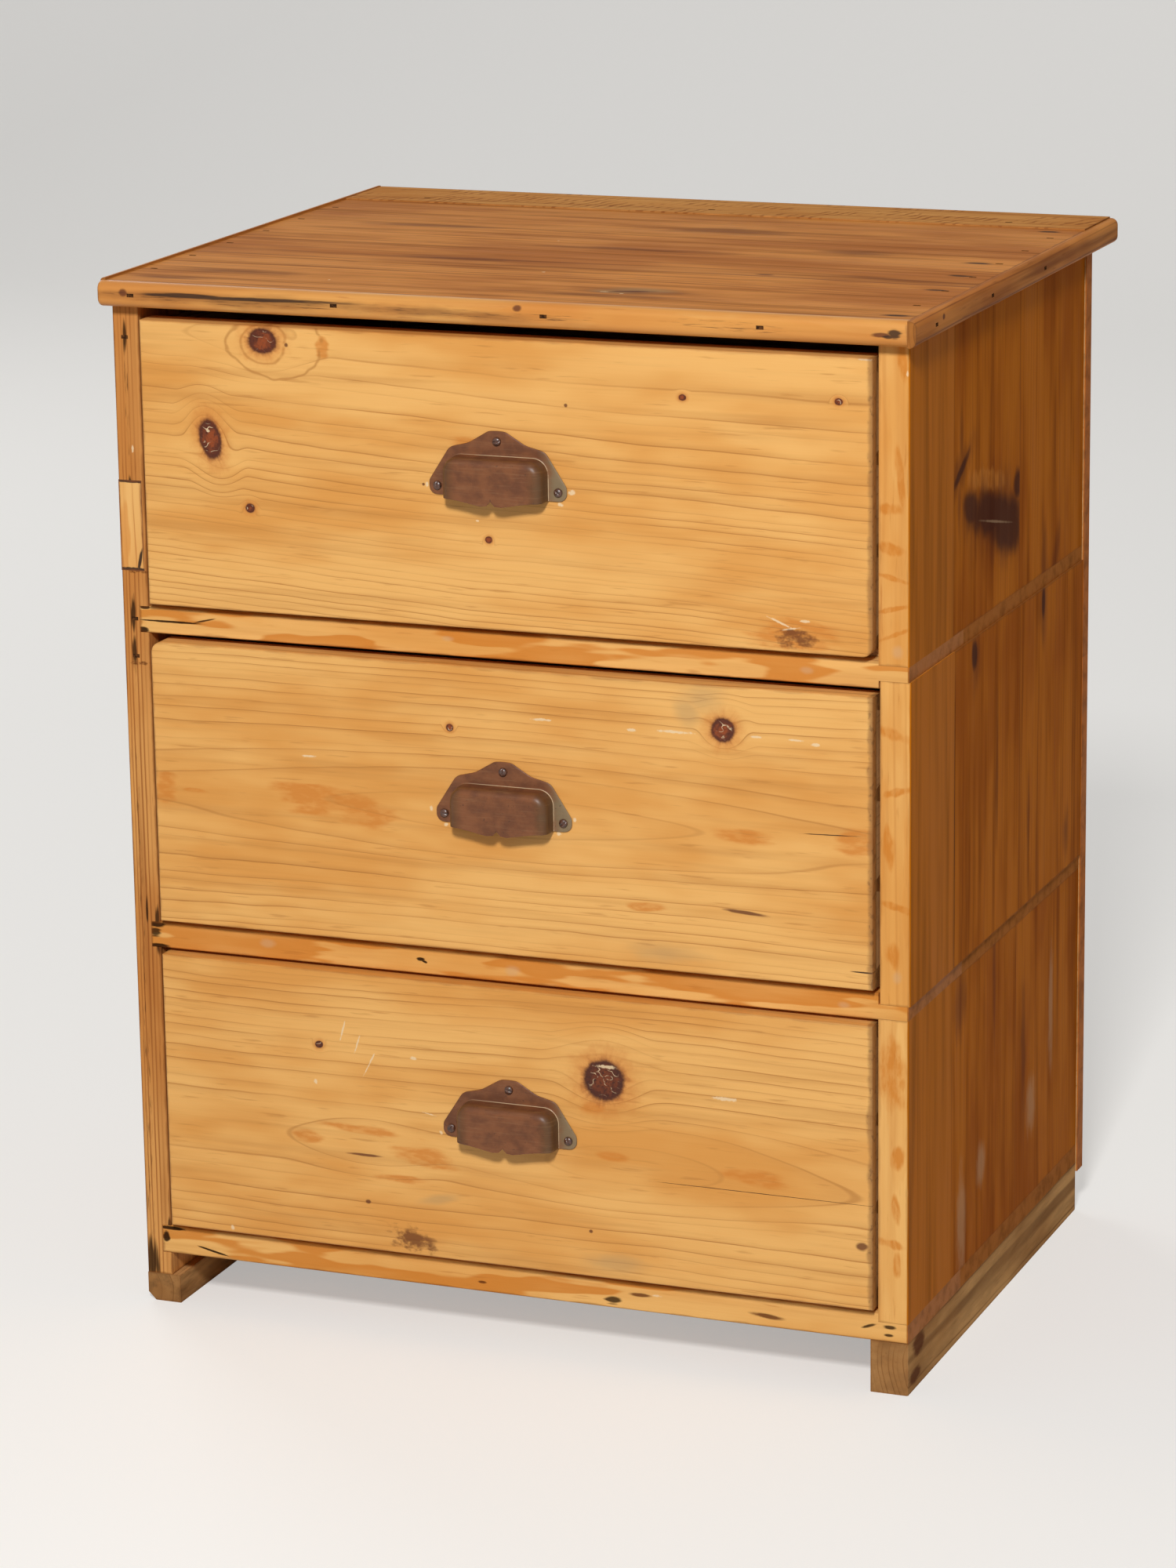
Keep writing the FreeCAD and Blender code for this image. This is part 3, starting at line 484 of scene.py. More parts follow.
DRAWER_MARKS = {
    "upper": dict(
        pith=(196, 30), ring=(15, 165), lean=0.045,
        swells=[((86, 192, 62, 40), -2.0), ((20, 190, 60, 30), -1.0)],
        loops=[(103, 190, 35, 23), (95, 191, 17, 14)],
        knots=[(94, 192, 11, 9), (52, 121, 8.5, 14.5, 12), (81, 74, 3.6, 3.4), (260, 63, 2.6, 2.4),
               (402, 169, 2.6, 2.2), (512, 172, 2.8, 2.4)],
        amber=[(139, 190, 4, 9), (252, 128, 16, 5), (480, 12, 26, 10)],
        white=[(470, 20, 8, 0.7, -22), (478, 16, 5, 0.6, 10), (488, 22, 3, 0.9), (166, 204, 7, 0.6),
               (531, 201, 5, 0.6), (215, 99, 1.2, 1.5), (313, 90.6, 1.8, 1.2), (252, 75.6, 1.2, 0.6),
               (321.5, 99.5, 2.4, 1.8)],
        specks=[(318, 159, 1.2, 1.2), (212.4, 98.8, 0.9, 0.9), (112, 190, 1.4, 1.4)],
        burrs=[(480, 10, 18, 7)],
    ),
    "middle": dict(
        pith=(100, 33), ring=(15, 130), swells=[((276, 100, 330, 75), -1.9)],
        knots=[(429, 174, 8.6, 8.8), (228, 160, 2.8, 2.6)],
        amber=[(8, 99, 8, 9), (30, 99, 9, 1.6), (128, 101, 36, 9, -6), (160, 95, 22, 10, -16),
               (120, 92, 18, 4), (443, 100, 19, 5, -2), (524, 104, 13, 10), (375, 45, 14, 3.4)],
        white=[(296, 171, 7, 0.9), (362, 169, 3, 1.0), (394, 170, 12, 0.9), (453, 171, 4, 0.7),
               (481, 171, 5, 0.7), (495, 169, 3, 1.0), (120, 131, 5, 0.8), (213, 101, 1.2, 1.6),
               (223.6, 90.4, 1.4, 1.4), (308, 91, 1.6, 1.4), (320, 102, 1.4, 1.4)],
        cracks=[(531, 12.5, 10, 0.5), (505, 107, 18, 0.3, 2)],
        grey=[(386, 13, 22, 6), (415, 194, 14, 8), (404, 185, 7, 9, 30)],
        specks=[(444, 47, 15, 1.3, -4)],
    ),
    "lower": dict(
        pith=(84, 36), ring=(15, 130), swells=[((360, 88, 190, 60), -2.1), ((160, 79, 80, 34), -1.3)],
        knots=[(339, 146, 15.5, 15), (122, 150, 3.2, 2.6)], char=1.0,
        amber=[(112, 80, 10, 4), (200, 74, 20, 6, -4), (452, 87, 22, 5, -2), (330, 124, 9, 4),
               (345, 91, 11, 3), (186, 56, 16, 3), (150, 90, 40, 3, -4)],
        white=[(140.5, 162, 0.6, 7, -16), (151.5, 153, 0.6, 6, -18), (163, 144, 0.6, 4.5, -28),
               (160, 138, 0.4, 8, -28), (428, 142, 8, 1.2), (194.5, 147, 2, 1.2), (118.5, 122, 1.4, 1.4),
               (206, 107, 5, 0.4, -10), (214.9, 94.3, 1.2, 1.2), (314, 96, 3, 1.2, 20), (49, 4, 1.4, 1.6),
               (341, 156, 7, 1.2)],
        specks=[(154, 71, 12, 1.0), (157, 36, 2, 1.4), (528, 46, 4, 3), (327.7, 33.7, 1.4, 1.2)],
        burrs=[(191, 11, 20, 10, -14)],
        grey=[(212, 44, 13, 3, 14), (343, 12, 20, 6)],
        cracks=[(455, 76, 78, 0.18)],
    ),
}


def drawers():
    """Fronts with their own knots and marks, and bare pine for the rest of each drawer."""
    for name, looks in DRAWER_MARKS.items():
        dress(f"{name}_drawer_front", "x", "z", -1, FRONT_TONES, worn_end=0.6, **looks)
        for hand, side in (("left", -1), ("right", 1)):
            dress(f"{name}_drawer_{hand}_side", "y", "z", side, BARE_TONES, roughness=0.6)
        dress(f"{name}_drawer_back", "x", "z", 1, BARE_TONES, roughness=0.6)
        dress(f"{name}_drawer_bottom", "x", "y", 1, BARE_TONES, roughness=0.6)


# Carcass

TOP_MARKS = dict(
    black=[(572, 13, 10, 3), (565, 120, 8, 3), (562, 183, 9, 3), (558, 240, 10, 3), (563, 395, 8, 3)],
    stains=[(40, 22, 26, 5), (374, 57, 34, 12), (340, 333, 40, 12), (462, 262, 26, 9), (70, 60, 40, 9),
            (200, 160, 50, 6), (350, 36, 60, 5), (120, 300, 40, 6), (300, 232, 60, 5)],
    grey=[(374, 62, 20, 8), (356, 52, 14, 6)],
    white=[(352, 50, 3, 1), (366, 46, 1.5, 1), (280, 118, 1.2, 1.2), (236, 256, 0.8, 0.8),
           (150, 44, 0.9, 1.4)],
    specks=[(370, 56, 14, 3, 12), (432, 150, 6, 2)],
)
NOSING_MARKS = dict(
    black=[(68, 10.6, 26, 1.5), (128, 10.4, 60, 1.1, 0.4), (581, 9, 4, 3.4), (577, 7, 4, 1.4)],
    stains=[(112, 9, 96, 3.6, 0.4), (255, 8, 70, 2.6, -1)],
    dashes=[(112, 8.4, 104, 4.4), (262, 8, 84, 3.4), (474, 8.5, 60, 4.5, -1), (20, 10, 24, 2),
            (330, 8, 60, 3)],
    specks=[(20.6, 10.6, 3, 2.6), (315, 13.7, 3, 2), (572, 8, 6, 1.6)],
)
STILE_MARKS = dict(
    black=[(691, 9, 11, 1.3), (493, 8, 12, 2.0), (467, 8, 10, 1.6), (7, 4, 18, 5), (276, 10, 9, 0.8),
           (588, 9, 6, 1), (270, 18, 9, 1.6), (250, 18.5, 7, 1.6), (37, 19, 6, 1.4), (28, 18, 5, 1.8)],
    hatched=[(524, 12, 1.6, 9), (458, 12, 1.6, 9)],
    dashes=[(130, 5.5, 150, 3.4), (60, 4.5, 60, 3.6), (300, 6, 160, 2.2), (470, 8, 60, 3), (640, 9, 70, 2)],
    white=[(612, 12, 2.2, 0.8)],
)
RAIL_MARKS = {
    "upper": dict(cracks=[(23, 9, 23, 0.7), (4, 18, 4, 1.2), (2, 2, 4, 2)], black=[(52, 12, 8, 0.6, 14)],
                  haze=[(236, 12, 4, 1.6), (498, 9, 4, 2)]),
    "lower": dict(cracks=[(4, 17, 6, 2), (6, 1, 8, 1.8), (210, 10.5, 3, 1.2), (213, 9, 2.2, 0.9, -20)],
                  black=[(3, 11, 4, 3)], haze=[(92, 11, 5, 3), (280, 9, 5, 3.4), (524, 8, 4, 2)]),
    "bottom": dict(cracks=[(8, 19, 10, 1.3), (3, 12, 2.5, 4), (41, 5, 12, 0.7, -12)],
                   black=[(352, 6, 5, 2.6), (541, 10, 5, 1, 20), (557, 11, 4, 1.4), (556, 5, 3, 1)],
                   specks=[(252, 7, 3, 1), (468, 8, 12, 1.6, -4), (372, 12, 8, 1.4)],
                   white=[(385, 13, 3, 0.8)]),
}
RIGHT_MARKS = {
    "upper_front": dict(haze=[(10, 13, 4, 3.4)], white=[(198, 20, 2, 0.7)],
                        amber=[(208, 17, 11, 3), (128, 15, 17, 2.4, -6), (107, 7, 4, 8), (80, 8, 3.4, 9, 10),
                               (60, 10, 1.6, 11, 14), (39, 10, 1.6, 11, -14), (21, 10, 1.6, 11, -24)]),
    "middle_front": dict(haze=[(20, 12, 4, 3)],
                         amber=[(190, 8, 4, 10, 20), (150, 12, 2.4, 10, -16), (112, 6, 12, 4),
                                (70, 10, 2.4, 11, 14), (36, 9, 9, 5)]),
    "upper_middle": dict(resin=[(66, 98, 15, 66, 12), (52, 122, 16, 42, 12), (82, 40, 11, 20, 24),
                                (78, 150, 10, 9), (112, 16, 19, 4, 60)],
                         stains=[(62, 100, 26, 70, 12), (110, 12, 30, 10, 60), (134, 17, 19, 3.4),
                                 (90, 12, 20, 4)],
                         # The haze line across the big knot is a painted highlight.
                         amber=[(94, 80, 7, 46, 12)], haze=[(61, 98, 0.8, 30, 12)]),
    "upper_rear": dict(stains=[(4, 62, 32, 7), (8, 92, 16, 6, 20)]),
    "middle_middle": dict(resin=[(214, 46, 10, 6)], stains=[(210, 48, 18, 10), (120, 100, 40, 3)],
                          cracks=[(84, 1, 120, 0.5)]),
    "middle_rear": dict(resin=[(216, 58, 12, 4)],
                        stains=[(214, 58, 26, 8), (30, 122, 14, 6), (60, 24, 40, 3)]),
    "lower_middle": dict(haze=[(34, 24, 34, 9), (64, 70, 14, 9)],
                         stains=[(200, 20, 20, 12), (190, 100, 40, 4)]),
    "lower_front": dict(amber=[(180, 10, 22, 9), (120, 13, 8, 5, 10), (84, 12, 9, 3, -8), (58, 9, 3, 9, 12),
                               (42, 14, 9, 3)]),
    "lower_rear": dict(haze=[(70, 40, 18, 10), (130, 90, 40, 5)], stains=[(120, 20, 50, 5)]),
}


def carcass():
    """Top, sides, shelves, runners and back."""
    dress("top_board", "x", "y", 1, TOP_TONES, pith=(150, 60), ring=(8, 400), bow=14, sheen=0.01,
          wear=0.5, streaks=0.6, **TOP_MARKS)
    dress("top_rear_strip", "x", "y", 1, OLD_TONES, saw=1.0, roughness=0.6, sheen=0.02)
    dress("front_nosing", "x", "z", -1, NOSING_TONES, pith=(9, 40), ring=(11, 400), roughness=0.36,
          flames=0.3, **NOSING_MARKS)
    for node, side in (("left_nosing", -1), ("right_nosing", 1)):
        dress(node, "y", "z", side, TOP_TONES, pith=(9, 30), ring=(5, 400), sheen=0.02, streaks=0.8,
              specks=[(60, 12, 2.4, 2)])
    dress("left_side_front", "z", "x", -1, OLD_TONES, pith=(30, 22), ring=(2.6, 300), bow=1.5, wave=0.5,
          lines=1.1, wear=0.6, streaks=0.5, sheen=0.05, **STILE_MARKS)
    for part in ("middle", "rear"):
        dress(f"left_side_{part}", "z", "y", -1, OLD_TONES, ring=(6, 300), sheen=0.02, flames=0.4)
    dress("left_edge_patch", "z", "x", -1, STILE_TONES, pith=(-12, 10), ring=(5, 300), bow=5, wear=0.9,
          flames=0.6, cracks=[(64, 9, 0.9, 11), (1, 9, 1.2, 11), (9, 15, 8, 1.1, 12)])
    for section in ("upper", "middle", "lower"):
        # Each right front's far face across takes the side's deep amber, partly painted shade.
        dress(f"right_{section}_front", "z", "x", -1, STILE_TONES, pith=(10, 60), ring=(16, 300), bow=9,
              wave=3, flames=0.2, wear=0.3, sheen=0.01, outer=(1, SHADED_SIDE_TONES[0]),
              **RIGHT_MARKS[f"{section}_front"])
        for part in ("middle", "rear"):
            # The side boards in the side's deep amber, partly painted shade.
            dress(f"right_{section}_{part}", "z", "y", 1, SHADED_SIDE_TONES, ring=(8, 300), sheen=0.01, lines=0.5,
                  roughness=0.5, streaks=0.7, wear=0.3, **RIGHT_MARKS[f"{section}_{part}"])
    for shelf, marks in RAIL_MARKS.items():
        dress(f"{shelf}_rail_board", "x", "z", -1, STILE_TONES, pith=(9, 50), ring=(14, 300), flames=1.0,
              wear=0.45, sheen=0.02, outer=(0, RAIL_END), **marks)
        dress(f"{shelf}_dust_board", "x", "y", 1, BARE_TONES, roughness=0.6, sheen=0.01, ring=(4, 300),
              outer=(0, SHELF_END))
    dress("left_runner", "y", "z", -1, RUNNER_TONES, roughness=0.7, sheen=0.02, dirt=0.6)
    dress("right_runner", "y", "z", 1, RUNNER_TONES, roughness=0.7, sheen=0.02, dirt=0.25, ring=(5, 300),
          specks=[(24, 31, 12, 8), (16, 10, 12, 5)])
    for number in range(1, 9):
        dress(f"back_plank_{number}", "x", "z", 1, BARE_TONES, roughness=0.65, dirt=0.25, sheen=0.1,
              outer=(0, PLANK_END))


# Metal

BRONZE = (srgb(126, 76, 44), srgb(100, 58, 34))
WORN_GREY = srgb(136, 120, 90)
# Colour of the painted shade on the cup's rounded ends
PAINTED_CUP_SHADE = srgb(82, 56, 24)
BAND_BROWN = srgb(70, 42, 24)
# Pale colour of the painted highlight along the crease
CREASE_HIGHLIGHT = srgb(214, 186, 148)
PITS = srgb(54, 34, 22)
BRUSHED = srgb(156, 118, 84)
SCREW_IRON = (srgb(84, 46, 28), srgb(46, 26, 18))
NAIL_IRON = (srgb(52, 34, 22), srgb(100, 62, 34))


class Metal(Shader):
    """Bronzed sheet or iron, centred on one fitting."""

    def __init__(self, name, centre):
        super().__init__(name)
        coordinates = self.node("ShaderNodeTexCoord", {}, output="Object")
        self.point = self.place(coordinates, location=centre, kind="TEXTURE")

    def bronze(self, seed):
        """Dark brown patina, worn to a greenish grey towards the right, with painted shade on the cup's
        rounded ends and a painted highlight along the crease, brighter up and to the right.

        The UV map "profile" tells how far a point lies from the rim towards the middle.
        """
        across, _, up = self.split(self.point)
        profile = self.split(self.node("ShaderNodeUVMap", {}, uv_map="profile"))[1]
        cloud = self.noise(self.point, (70, 70, 90), seed, 4.0, 0.6)
        brushed = self.noise(self.point, (45, 45, 800), seed + 1, 3.0, 0.6)
        colour = self.mix(self.ramp(cloud, 0.35, 0.68), *BRONZE)
        wander = (cloud - 0.5) * (40 * MM)
        worn = self.ramp(across + wander * 0.4, 30 * MM, 44 * MM)
        colour = self.mix(worn * 0.75, colour, WORN_GREY)
        # Painted shade on the cup's rounded ends, left and right of its face.
        painted_end_shade = self.ramp(abs(across + wander * 0.1), 25 * MM, 33 * MM) * self.ramp(profile, 0.33, 0.38)
        colour = self.mix(painted_end_shade * 0.55, colour, PAINTED_CUP_SHADE)
        band = self.ramp(profile, 0.36, 0.5) * self.ramp(profile, 0.72, 0.56)
        colour = self.mix(band * 0.45, colour, BAND_BROWN)
        crease = self.ramp(abs(profile - CREASE), 0.03, 0.008)
        # A painted highlight along the crease, brighter up and to the right, in patches.
        crease_highlight = crease * self.ramp(across + up * 1.2, -14 * MM, 28 * MM) * self.ramp(cloud, 0.28, 0.46)
        colour = self.mix(crease_highlight * 0.85, colour, CREASE_HIGHLIGHT)
        pits = self.ramp(self.noise(self.point, (500, 500, 500), seed + 2, 1.0), 0.7, 0.78)
        colour = self.mix(pits * 0.5, colour, PITS)
        colour = self.mix(self.ramp(brushed, 0.5, 0.75) * 0.2, colour, BRUSHED)
        return self.finish(colour, 0.4 + (cloud - 0.5) * 0.4 - crease_highlight * 0.1,
                           brushed * (0.02 * MM) + cloud * (0.2 * MM), 0.7, **{"Specular IOR Level": 0.35})

    def iron(self, seed, tones, sheen, roughness):
        """Dark metal of one colour with specks of another."""
        rust = self.noise(self.point, (420, 420, 420), seed, 3.0, 0.65)
        colour = self.mix(self.ramp(rust, 0.42, 0.66), *tones)
        return self.finish(colour, roughness + (rust - 0.5) * 0.4, rust * (0.08 * MM), 0.6,
                           **{"Specular IOR Level": sheen})


def surface(name, grid):
    """A mesh from a grid of points, shape (rows, columns, 3), with poles and seams merged.

    Row and column shares are kept as the UV map "profile". Faces turn outwards where the first axis runs
    from the rim to the middle and the second one anticlockwise for someone in front of the piece.
    """
    rows, columns = grid.shape[:2]
    index = np.arange(rows * columns).reshape(rows, columns)
    faces = np.stack([index[:-1, :-1], index[:-1, 1:], index[1:, 1:], index[1:, :-1]], axis=-1).reshape(-1, 4)
    mesh = bpy.data.meshes.new(name)
    mesh.from_pydata(grid.reshape(-1, 3).tolist(), [], faces.tolist())
    share_row, share_column = np.meshgrid(np.linspace(0, 1, rows), np.linspace(0, 1, columns), indexing="ij")
    shares = np.stack([share_column, share_row], axis=-1).reshape(-1, 2)
    mesh.uv_layers.new(name="profile").data.foreach_set("uv", shares[faces.reshape(-1)].ravel())
    work = bmesh.new()
    work.from_mesh(mesh)
    bmesh.ops.remove_doubles(work, verts=work.verts, dist=1e-6)
    bmesh.ops.dissolve_degenerate(work, edges=work.edges, dist=1e-7)
    work.to_mesh(mesh)
    work.free()
    mesh.shade_smooth()
    return add(name, mesh)


# Cup pulls, in millimetres. A pull's origin is the middle of the line between its two side screws, on the
# drawer's face. Its section is drawn from the middle of the lip, which lies LIP below the origin.

LIP = 6.2
ORIGIN_UP = 10.2  # of the origin, over the lowest point of the solid pull
# Corners of the flange's right half and their radii, from the lip's end to past the middle of the top lobe
RIM = [(37, 0, 0), (50.6, 0, 5.6), (50.6, 9.7, 5.6), (35.2, 33.6, 9), (21, 37, 20), (6, 46, 9), (-6, 46, 9)]
RIM_EDGE = ((0.0, 0.7), (0.25, 1.05))  # insets and heights of its rounded edge
RIM_ROUND = 0.6  # inset at which the flange is flat
FLANGE = 1.2  # height of the flange's face
FOOT = 0.9  # from the cup's wall out to the crease about it
WALL = ((-0.45, 1.33), (-0.15, 1.65), (0.0, 2.1), (0.15, 4.2), (0.3, 6.4), (0.4, 8.5))  # inset, height
CUP_WIDE, CUP_HIGH, CUP_BEND = 37.0, 28.7, 11.0  # half width, height and corner radius of its outline
BEVEL_IN, BEVEL_UP = 6.5, 6.3  # quarter round from the top of the wall to the flat face
FACE_INSET, CROWN = 6.9, 0.2  # inset of the face, and how far its middle bulges
SAG_AT, SAG = (0, 1.2, 2.8, 4.8, 8, 15, 23, 30, 37), (-0.2, -1.7, -3.2, -3.9, -3.8, -2.5, -0.9, -0.1, 0)
SAG_FADES = 11.0  # up from the lip, where the lobes of the lip no longer pull the sheet down
SHEET = 1.1  # thickness of the metal
CREASE = 0.32  # of the rows from the rim inwards, where the pressed crease lies
SCREW_RADIUS, SCREW_EDGE, SCREW_DOME = 3.1, 0.5, 1.7  # heights of its edge and of the dome over it
SLOT_HALF, SLOT_RUNOUT = 0.55, 0.2  # half width of the slot, and how far its walls lean out
SLOT_FLOOR, SLOT_SHARE = 1.0, 0.7  # level below which nothing is cut, and share cut of what stands over it
SCREWS = ((-44.4, 0), (44.4, 0), (0, 32.7))


def rounded(points, steps=14):
    """Evenly spaced points along a polygon whose corners are arcs, each (x, y, radius).

    An arc of radius r between unit directions u and w has its centre on their bisector, r / sin(half the
    angle between them) away from the corner. It turns evenly by the angle a from its start s to its end e:
    (sin((1 - t) a) s + sin(t a) e) / sin a.
    """
    spots = np.array(points)[:, :2].astype(float)
    line = [spots[:1]]
    for before, corner, after, (_, _, radius) in zip(spots, spots[1:], spots[2:], points[1:]):
        one, two = ((end - corner) / np.linalg.norm(end - corner) for end in (before, after))
        angle = np.arccos(one @ two)
        centre = corner + (one + two) / np.linalg.norm(one + two) * radius / np.sin(angle / 2)
        start, end = (corner + way * radius / np.tan(angle / 2) - centre for way in (one, two))
        share = np.linspace(0, 1, steps)[:, None]
        turn = pi - angle
        line.append(centre + (np.sin((1 - share) * turn) * start + np.sin(share * turn) * end) / np.sin(turn))
    line = np.concatenate(line)
    way = np.concatenate([[0], np.cumsum(np.linalg.norm(np.diff(line, axis=0), axis=1))])
    even = np.linspace(0, way[-1], 400)
    return np.stack([np.interp(even, way, line[:, part]) for part in (0, 1)], axis=1)


def cup_reach(angles, inset):
    """How far the cup's outline, moved in by inset, lies from the middle of the lip at each angle.

    The outline is a rectangle with rounded upper corners: a ray meets its side, its top, or the corner's
    circle, where t solves |t e - c| = r.
    """
    wide, high, bend = CUP_WIDE - inset, CUP_HIGH - inset, CUP_BEND - inset
    east, north = np.abs(np.cos(angles)), np.sin(angles)
    side = wide / np.maximum(east, 1e-9)
    top = high / np.maximum(north, 1e-9)
    over = east * (wide - bend) + north * (high - bend)
    square = (wide - bend) ** 2 + (high - bend) ** 2
    corner = over + np.sqrt(np.maximum(over ** 2 - square + bend ** 2, 0))
    return np.where(side * north <= high - bend, side, np.where(top * east <= wide - bend, top, corner))


def cup_sheet():
    """The front of a pull as rows of rays about the middle of its lip.

    Each row lies at a share of the way from the flange's rim to the cup, or at an inset from the cup's
    outline, and at a height of its own: flange, crease, steep wall, quarter round, flat face. The lip's two
    lobes pull the lowest points down.
    """
    along = np.linspace(0, 1, 90) ** 1.15 * (pi / 2)
    angles = np.concatenate([along, (pi - along)[::-1][1:]])
    rim = rounded(RIM)
    rim_angles = np.arctan2(rim[:, 1], rim[:, 0])
    reach = np.interp(np.minimum(angles, pi - angles), rim_angles, np.hypot(rim[:, 0], rim[:, 1]))
    foot = cup_reach(angles, -FOOT)
    rows = [(reach - inset, high) for inset, high in RIM_EDGE]
    rows += [((reach - RIM_ROUND) * (1 - share) + foot * share, FLANGE) for share in np.linspace(0, 1, 6)]
    rows += [(cup_reach(angles, inset), high) for inset, high in WALL]
    wall_top = WALL[-1][1]
    for turn in np.linspace(0, pi / 2, 9)[1:]:
        rows.append((cup_reach(angles, FACE_INSET - BEVEL_IN * cos(turn)), wall_top + BEVEL_UP * sin(turn)))
    face = cup_reach(angles, FACE_INSET)
    rows += [(face * share, wall_top + BEVEL_UP + CROWN * (1 - share ** 2))
             for share in (0.85, 0.65, 0.45, 0.25, 0.1, 0.0)]
    far = np.stack([row[0] for row in rows])
    high = np.stack([np.full(len(angles), row[1]) for row in rows])
    across, up = far * np.cos(angles), far * np.sin(angles)
    up = up + np.interp(np.abs(across), SAG_AT, SAG) * np.clip(1 - up / SAG_FADES, 0, 1)
    return np.stack([across, -high, up - LIP], axis=-1)


def screw_head(turn):
    """A domed head with a slot, standing on the flange.

    Its profile is turned round: a low cylinder under a quarter of an ellipse, (R cos t, E + D sin t). Points
    nearer to the slot's line than its half width are pushed down.
    """
    angles = np.linspace(0, 2 * pi, 41)
    bend = np.linspace(0, pi / 2, 9)
    radii = np.concatenate([[0.0, SCREW_RADIUS], SCREW_RADIUS * np.cos(bend)])
    high = np.concatenate([[0.0, 0.0], SCREW_EDGE + SCREW_DOME * np.sin(bend)])
    across, up = radii[:, None] * np.cos(angles), radii[:, None] * np.sin(angles)
    level = np.repeat(high[:, None], len(angles), axis=1)
    gap = np.abs(across * cos(turn) + up * sin(turn))
    cut = np.clip((SLOT_HALF - gap) / SLOT_RUNOUT, 0, 1) * np.clip(level - SLOT_FLOOR, 0, 1) * SLOT_SHARE
    return np.stack([across, -FLANGE - (level - cut), up], axis=-1)


def pulls():
    """A pressed pull and its three screws on each drawer, in place of the plain ones."""
    for number, name in enumerate(DRAWER_MARKS):
        low, high = (np.array(corner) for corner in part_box(f"{name}_drawer_handle"))
        origin = np.array([(low[0] + high[0]) / 2, high[1], low[2] + ORIGIN_UP * MM])
        pull = surface(f"{name}_pull", origin + cup_sheet() * MM)
        wall = pull.modifiers.new("wall", "SOLIDIFY")
        wall.thickness = SHEET * MM
        wall.offset = -1.0
        pull.data.materials.append(Metal(f"{name}_bronze", tuple(origin)).bronze(number * 11.0))
        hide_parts(f"{name}_drawer_handle")
        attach(pull, f"{name}_drawer")
        dark = Metal(f"{name}_screw_iron", tuple(origin)).iron(number * 7.0, SCREW_IRON, 0.8, 0.34)
        for place, (across, up) in enumerate(SCREWS):
            turn = number * 1.3 + place * 0.9  # every slot has its own angle
            spot = origin + np.array([across, 0, up]) * MM
            screw = surface(f"{name}_screw_{place + 1}", spot + screw_head(turn) * MM)
            screw.data.materials.append(dark)
            if place == 0:
                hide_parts(f"{name}_drawer_handle_screws")
            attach(screw, f"{name}_drawer")


def nails():
    """Rusted heads for the cut nails."""
    rusty = Metal("rusted_iron", (0.0, 0.0, 0.0)).iron(3.0, NAIL_IRON, 0.0, 0.8)
    for node in ("top_nails", "nosing_nails", "side_nails", "back_nails"):
        paint(node, rusty)


# Room

FLOOR_PAINT = (0.56, 0.55, 0.53)
FLOOR_GLOW = (1.0, 0.99, 0.97)
GLOW_LEVEL = 0.4
SKY = (1.0, 0.98, 0.95, 1.0)
SKY_DIM, SKY_BRIGHT = 0.23, 0.7  # as a light, and as it is seen
LAMPS = (("key", (1.05, -3.65, 2.98), 0.55, 154.0), ("back", (-2.8, 2.7, 2.6), 1.6, 30.0))  # size, watts
AIM = Vector((0, 0, 0.4))


def pale_floor():
    """Pale paint, a little brighter to the camera, and in gloss and glass, than its light makes it."""
    paint = Shader("pale_floor")
    seen = [paint.node("ShaderNodeLightPath", {}, output=way)
            for way in ("Is Camera Ray", "Is Glossy Ray", "Is Transmission Ray")]
    glow = (seen[0] + seen[1] + seen[2]) * GLOW_LEVEL
    paint.feed(paint.surface.inputs["Emission Color"], paint.mix(glow, (0.0, 0.0, 0.0), FLOOR_GLOW))
    return paint.finish(FLOOR_PAINT, 0.8, **{"Emission Strength": 1.0})


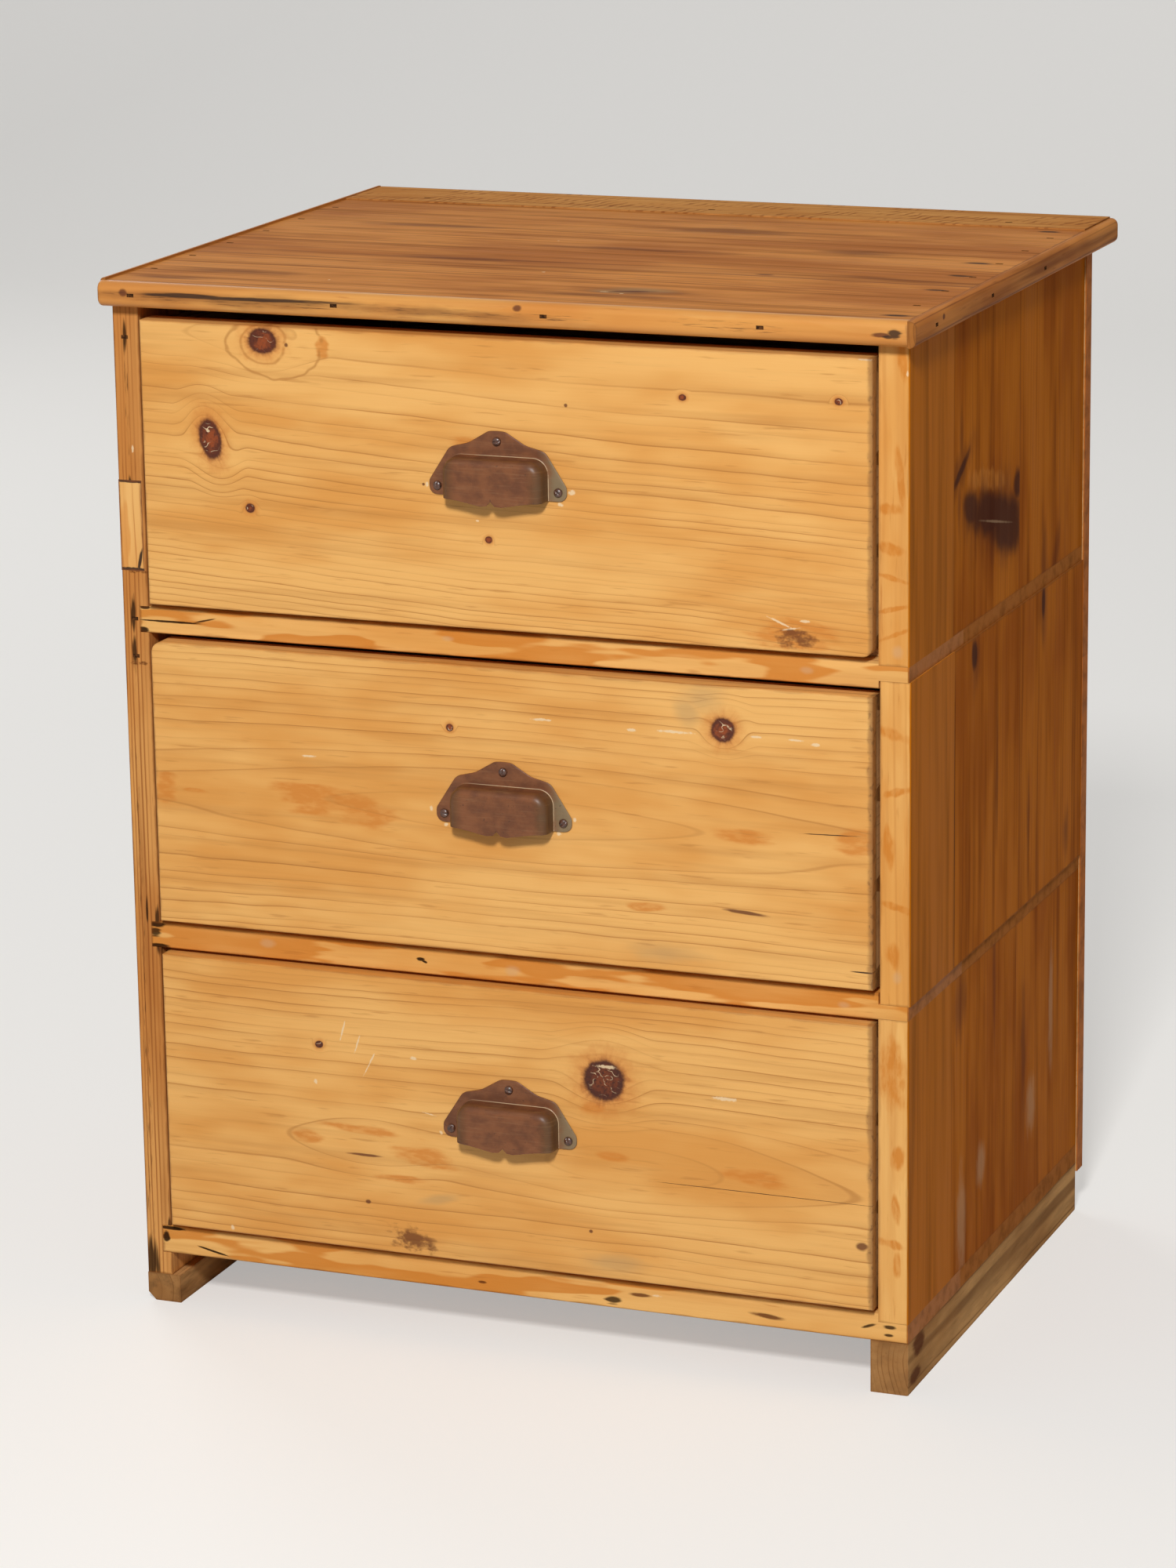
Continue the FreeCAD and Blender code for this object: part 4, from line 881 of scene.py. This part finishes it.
def backdrop():
    """A pale floor that runs up into a wall, in a quarter round between them."""
    width, depth, rise, bend = 9.0, 4.0, 5.0, 1.2
    angles = np.linspace(0, pi / 2, 17)
    back = np.concatenate(([-depth], depth + bend * np.sin(angles), [depth + bend]))
    up = np.concatenate(([0.0], bend * (1 - np.cos(angles)), [rise]))
    points = np.stack([np.stack([np.full(len(back), side), back, up], axis=1)
                       for side in (-width, width)]).reshape(-1, 3)
    count = len(back)
    first = np.arange(count - 1)
    faces = np.stack([first, first + count, first + count + 1, first + 1], axis=1)
    mesh = bpy.data.meshes.new("floor")
    mesh.from_pydata(points.tolist(), [], faces.tolist())
    mesh.shade_smooth()
    floor = add("floor", mesh)
    mesh.materials.append(pale_floor())


def lamps():
    """Two soft lamps, a strong one in front and a weak one behind."""
    for name, place, size, power in LAMPS:
        lamp = bpy.data.lights.new(name, "AREA")
        lamp.size = size
        lamp.energy = power
        light = add(name, lamp)
        light.location = place
        light.rotation_euler = (AIM - Vector(place)).to_track_quat("-Z", "Y").to_euler()


def sky():
    """Even light from all sides, brighter to the camera, and in gloss and glass, than it lights."""
    world = bpy.data.worlds.new("studio")
    world.use_nodes = True
    nodes, links = world.node_tree.nodes, world.node_tree.links
    dome, way, level = nodes["Background"], nodes.new("ShaderNodeLightPath"), nodes.new("ShaderNodeMapRange")
    dome.inputs["Color"].default_value = SKY
    first, both = nodes.new("ShaderNodeMath"), nodes.new("ShaderNodeMath")
    links.new(way.outputs["Is Camera Ray"], first.inputs[0])
    links.new(way.outputs["Is Glossy Ray"], first.inputs[1])
    links.new(first.outputs[0], both.inputs[0])
    links.new(way.outputs["Is Transmission Ray"], both.inputs[1])
    links.new(both.outputs[0], level.inputs["Value"])
    level.inputs["To Min"].default_value = SKY_DIM
    level.inputs["To Max"].default_value = SKY_BRIGHT
    links.new(level.outputs["Result"], dome.inputs["Strength"])
    bpy.context.scene.world = world
    bpy.context.scene.view_settings.view_transform = "Standard"


def camera():
    """The camera stands to the right of the front and looks slightly down."""
    azimuth, pitch, roll = radians(21.70), radians(14.61), radians(-0.823)
    forward = Vector((-sin(azimuth) * cos(pitch), cos(azimuth) * cos(pitch), -sin(pitch)))
    lens = bpy.data.cameras.new("camera")
    lens.sensor_fit = "VERTICAL"
    lens.sensor_height = 36.0
    lens.lens = 117.46
    view = add("camera", lens)
    view.location = (1.3151, -3.3815, 1.3050)
    view.rotation_mode = "QUATERNION"
    view.rotation_quaternion = forward.to_track_quat("-Z", "Y") @ Quaternion((0, 0, 1), roll)
    bpy.context.scene.camera = view


drawers()
carcass()
pulls()
nails()
backdrop()
lamps()
sky()
camera()
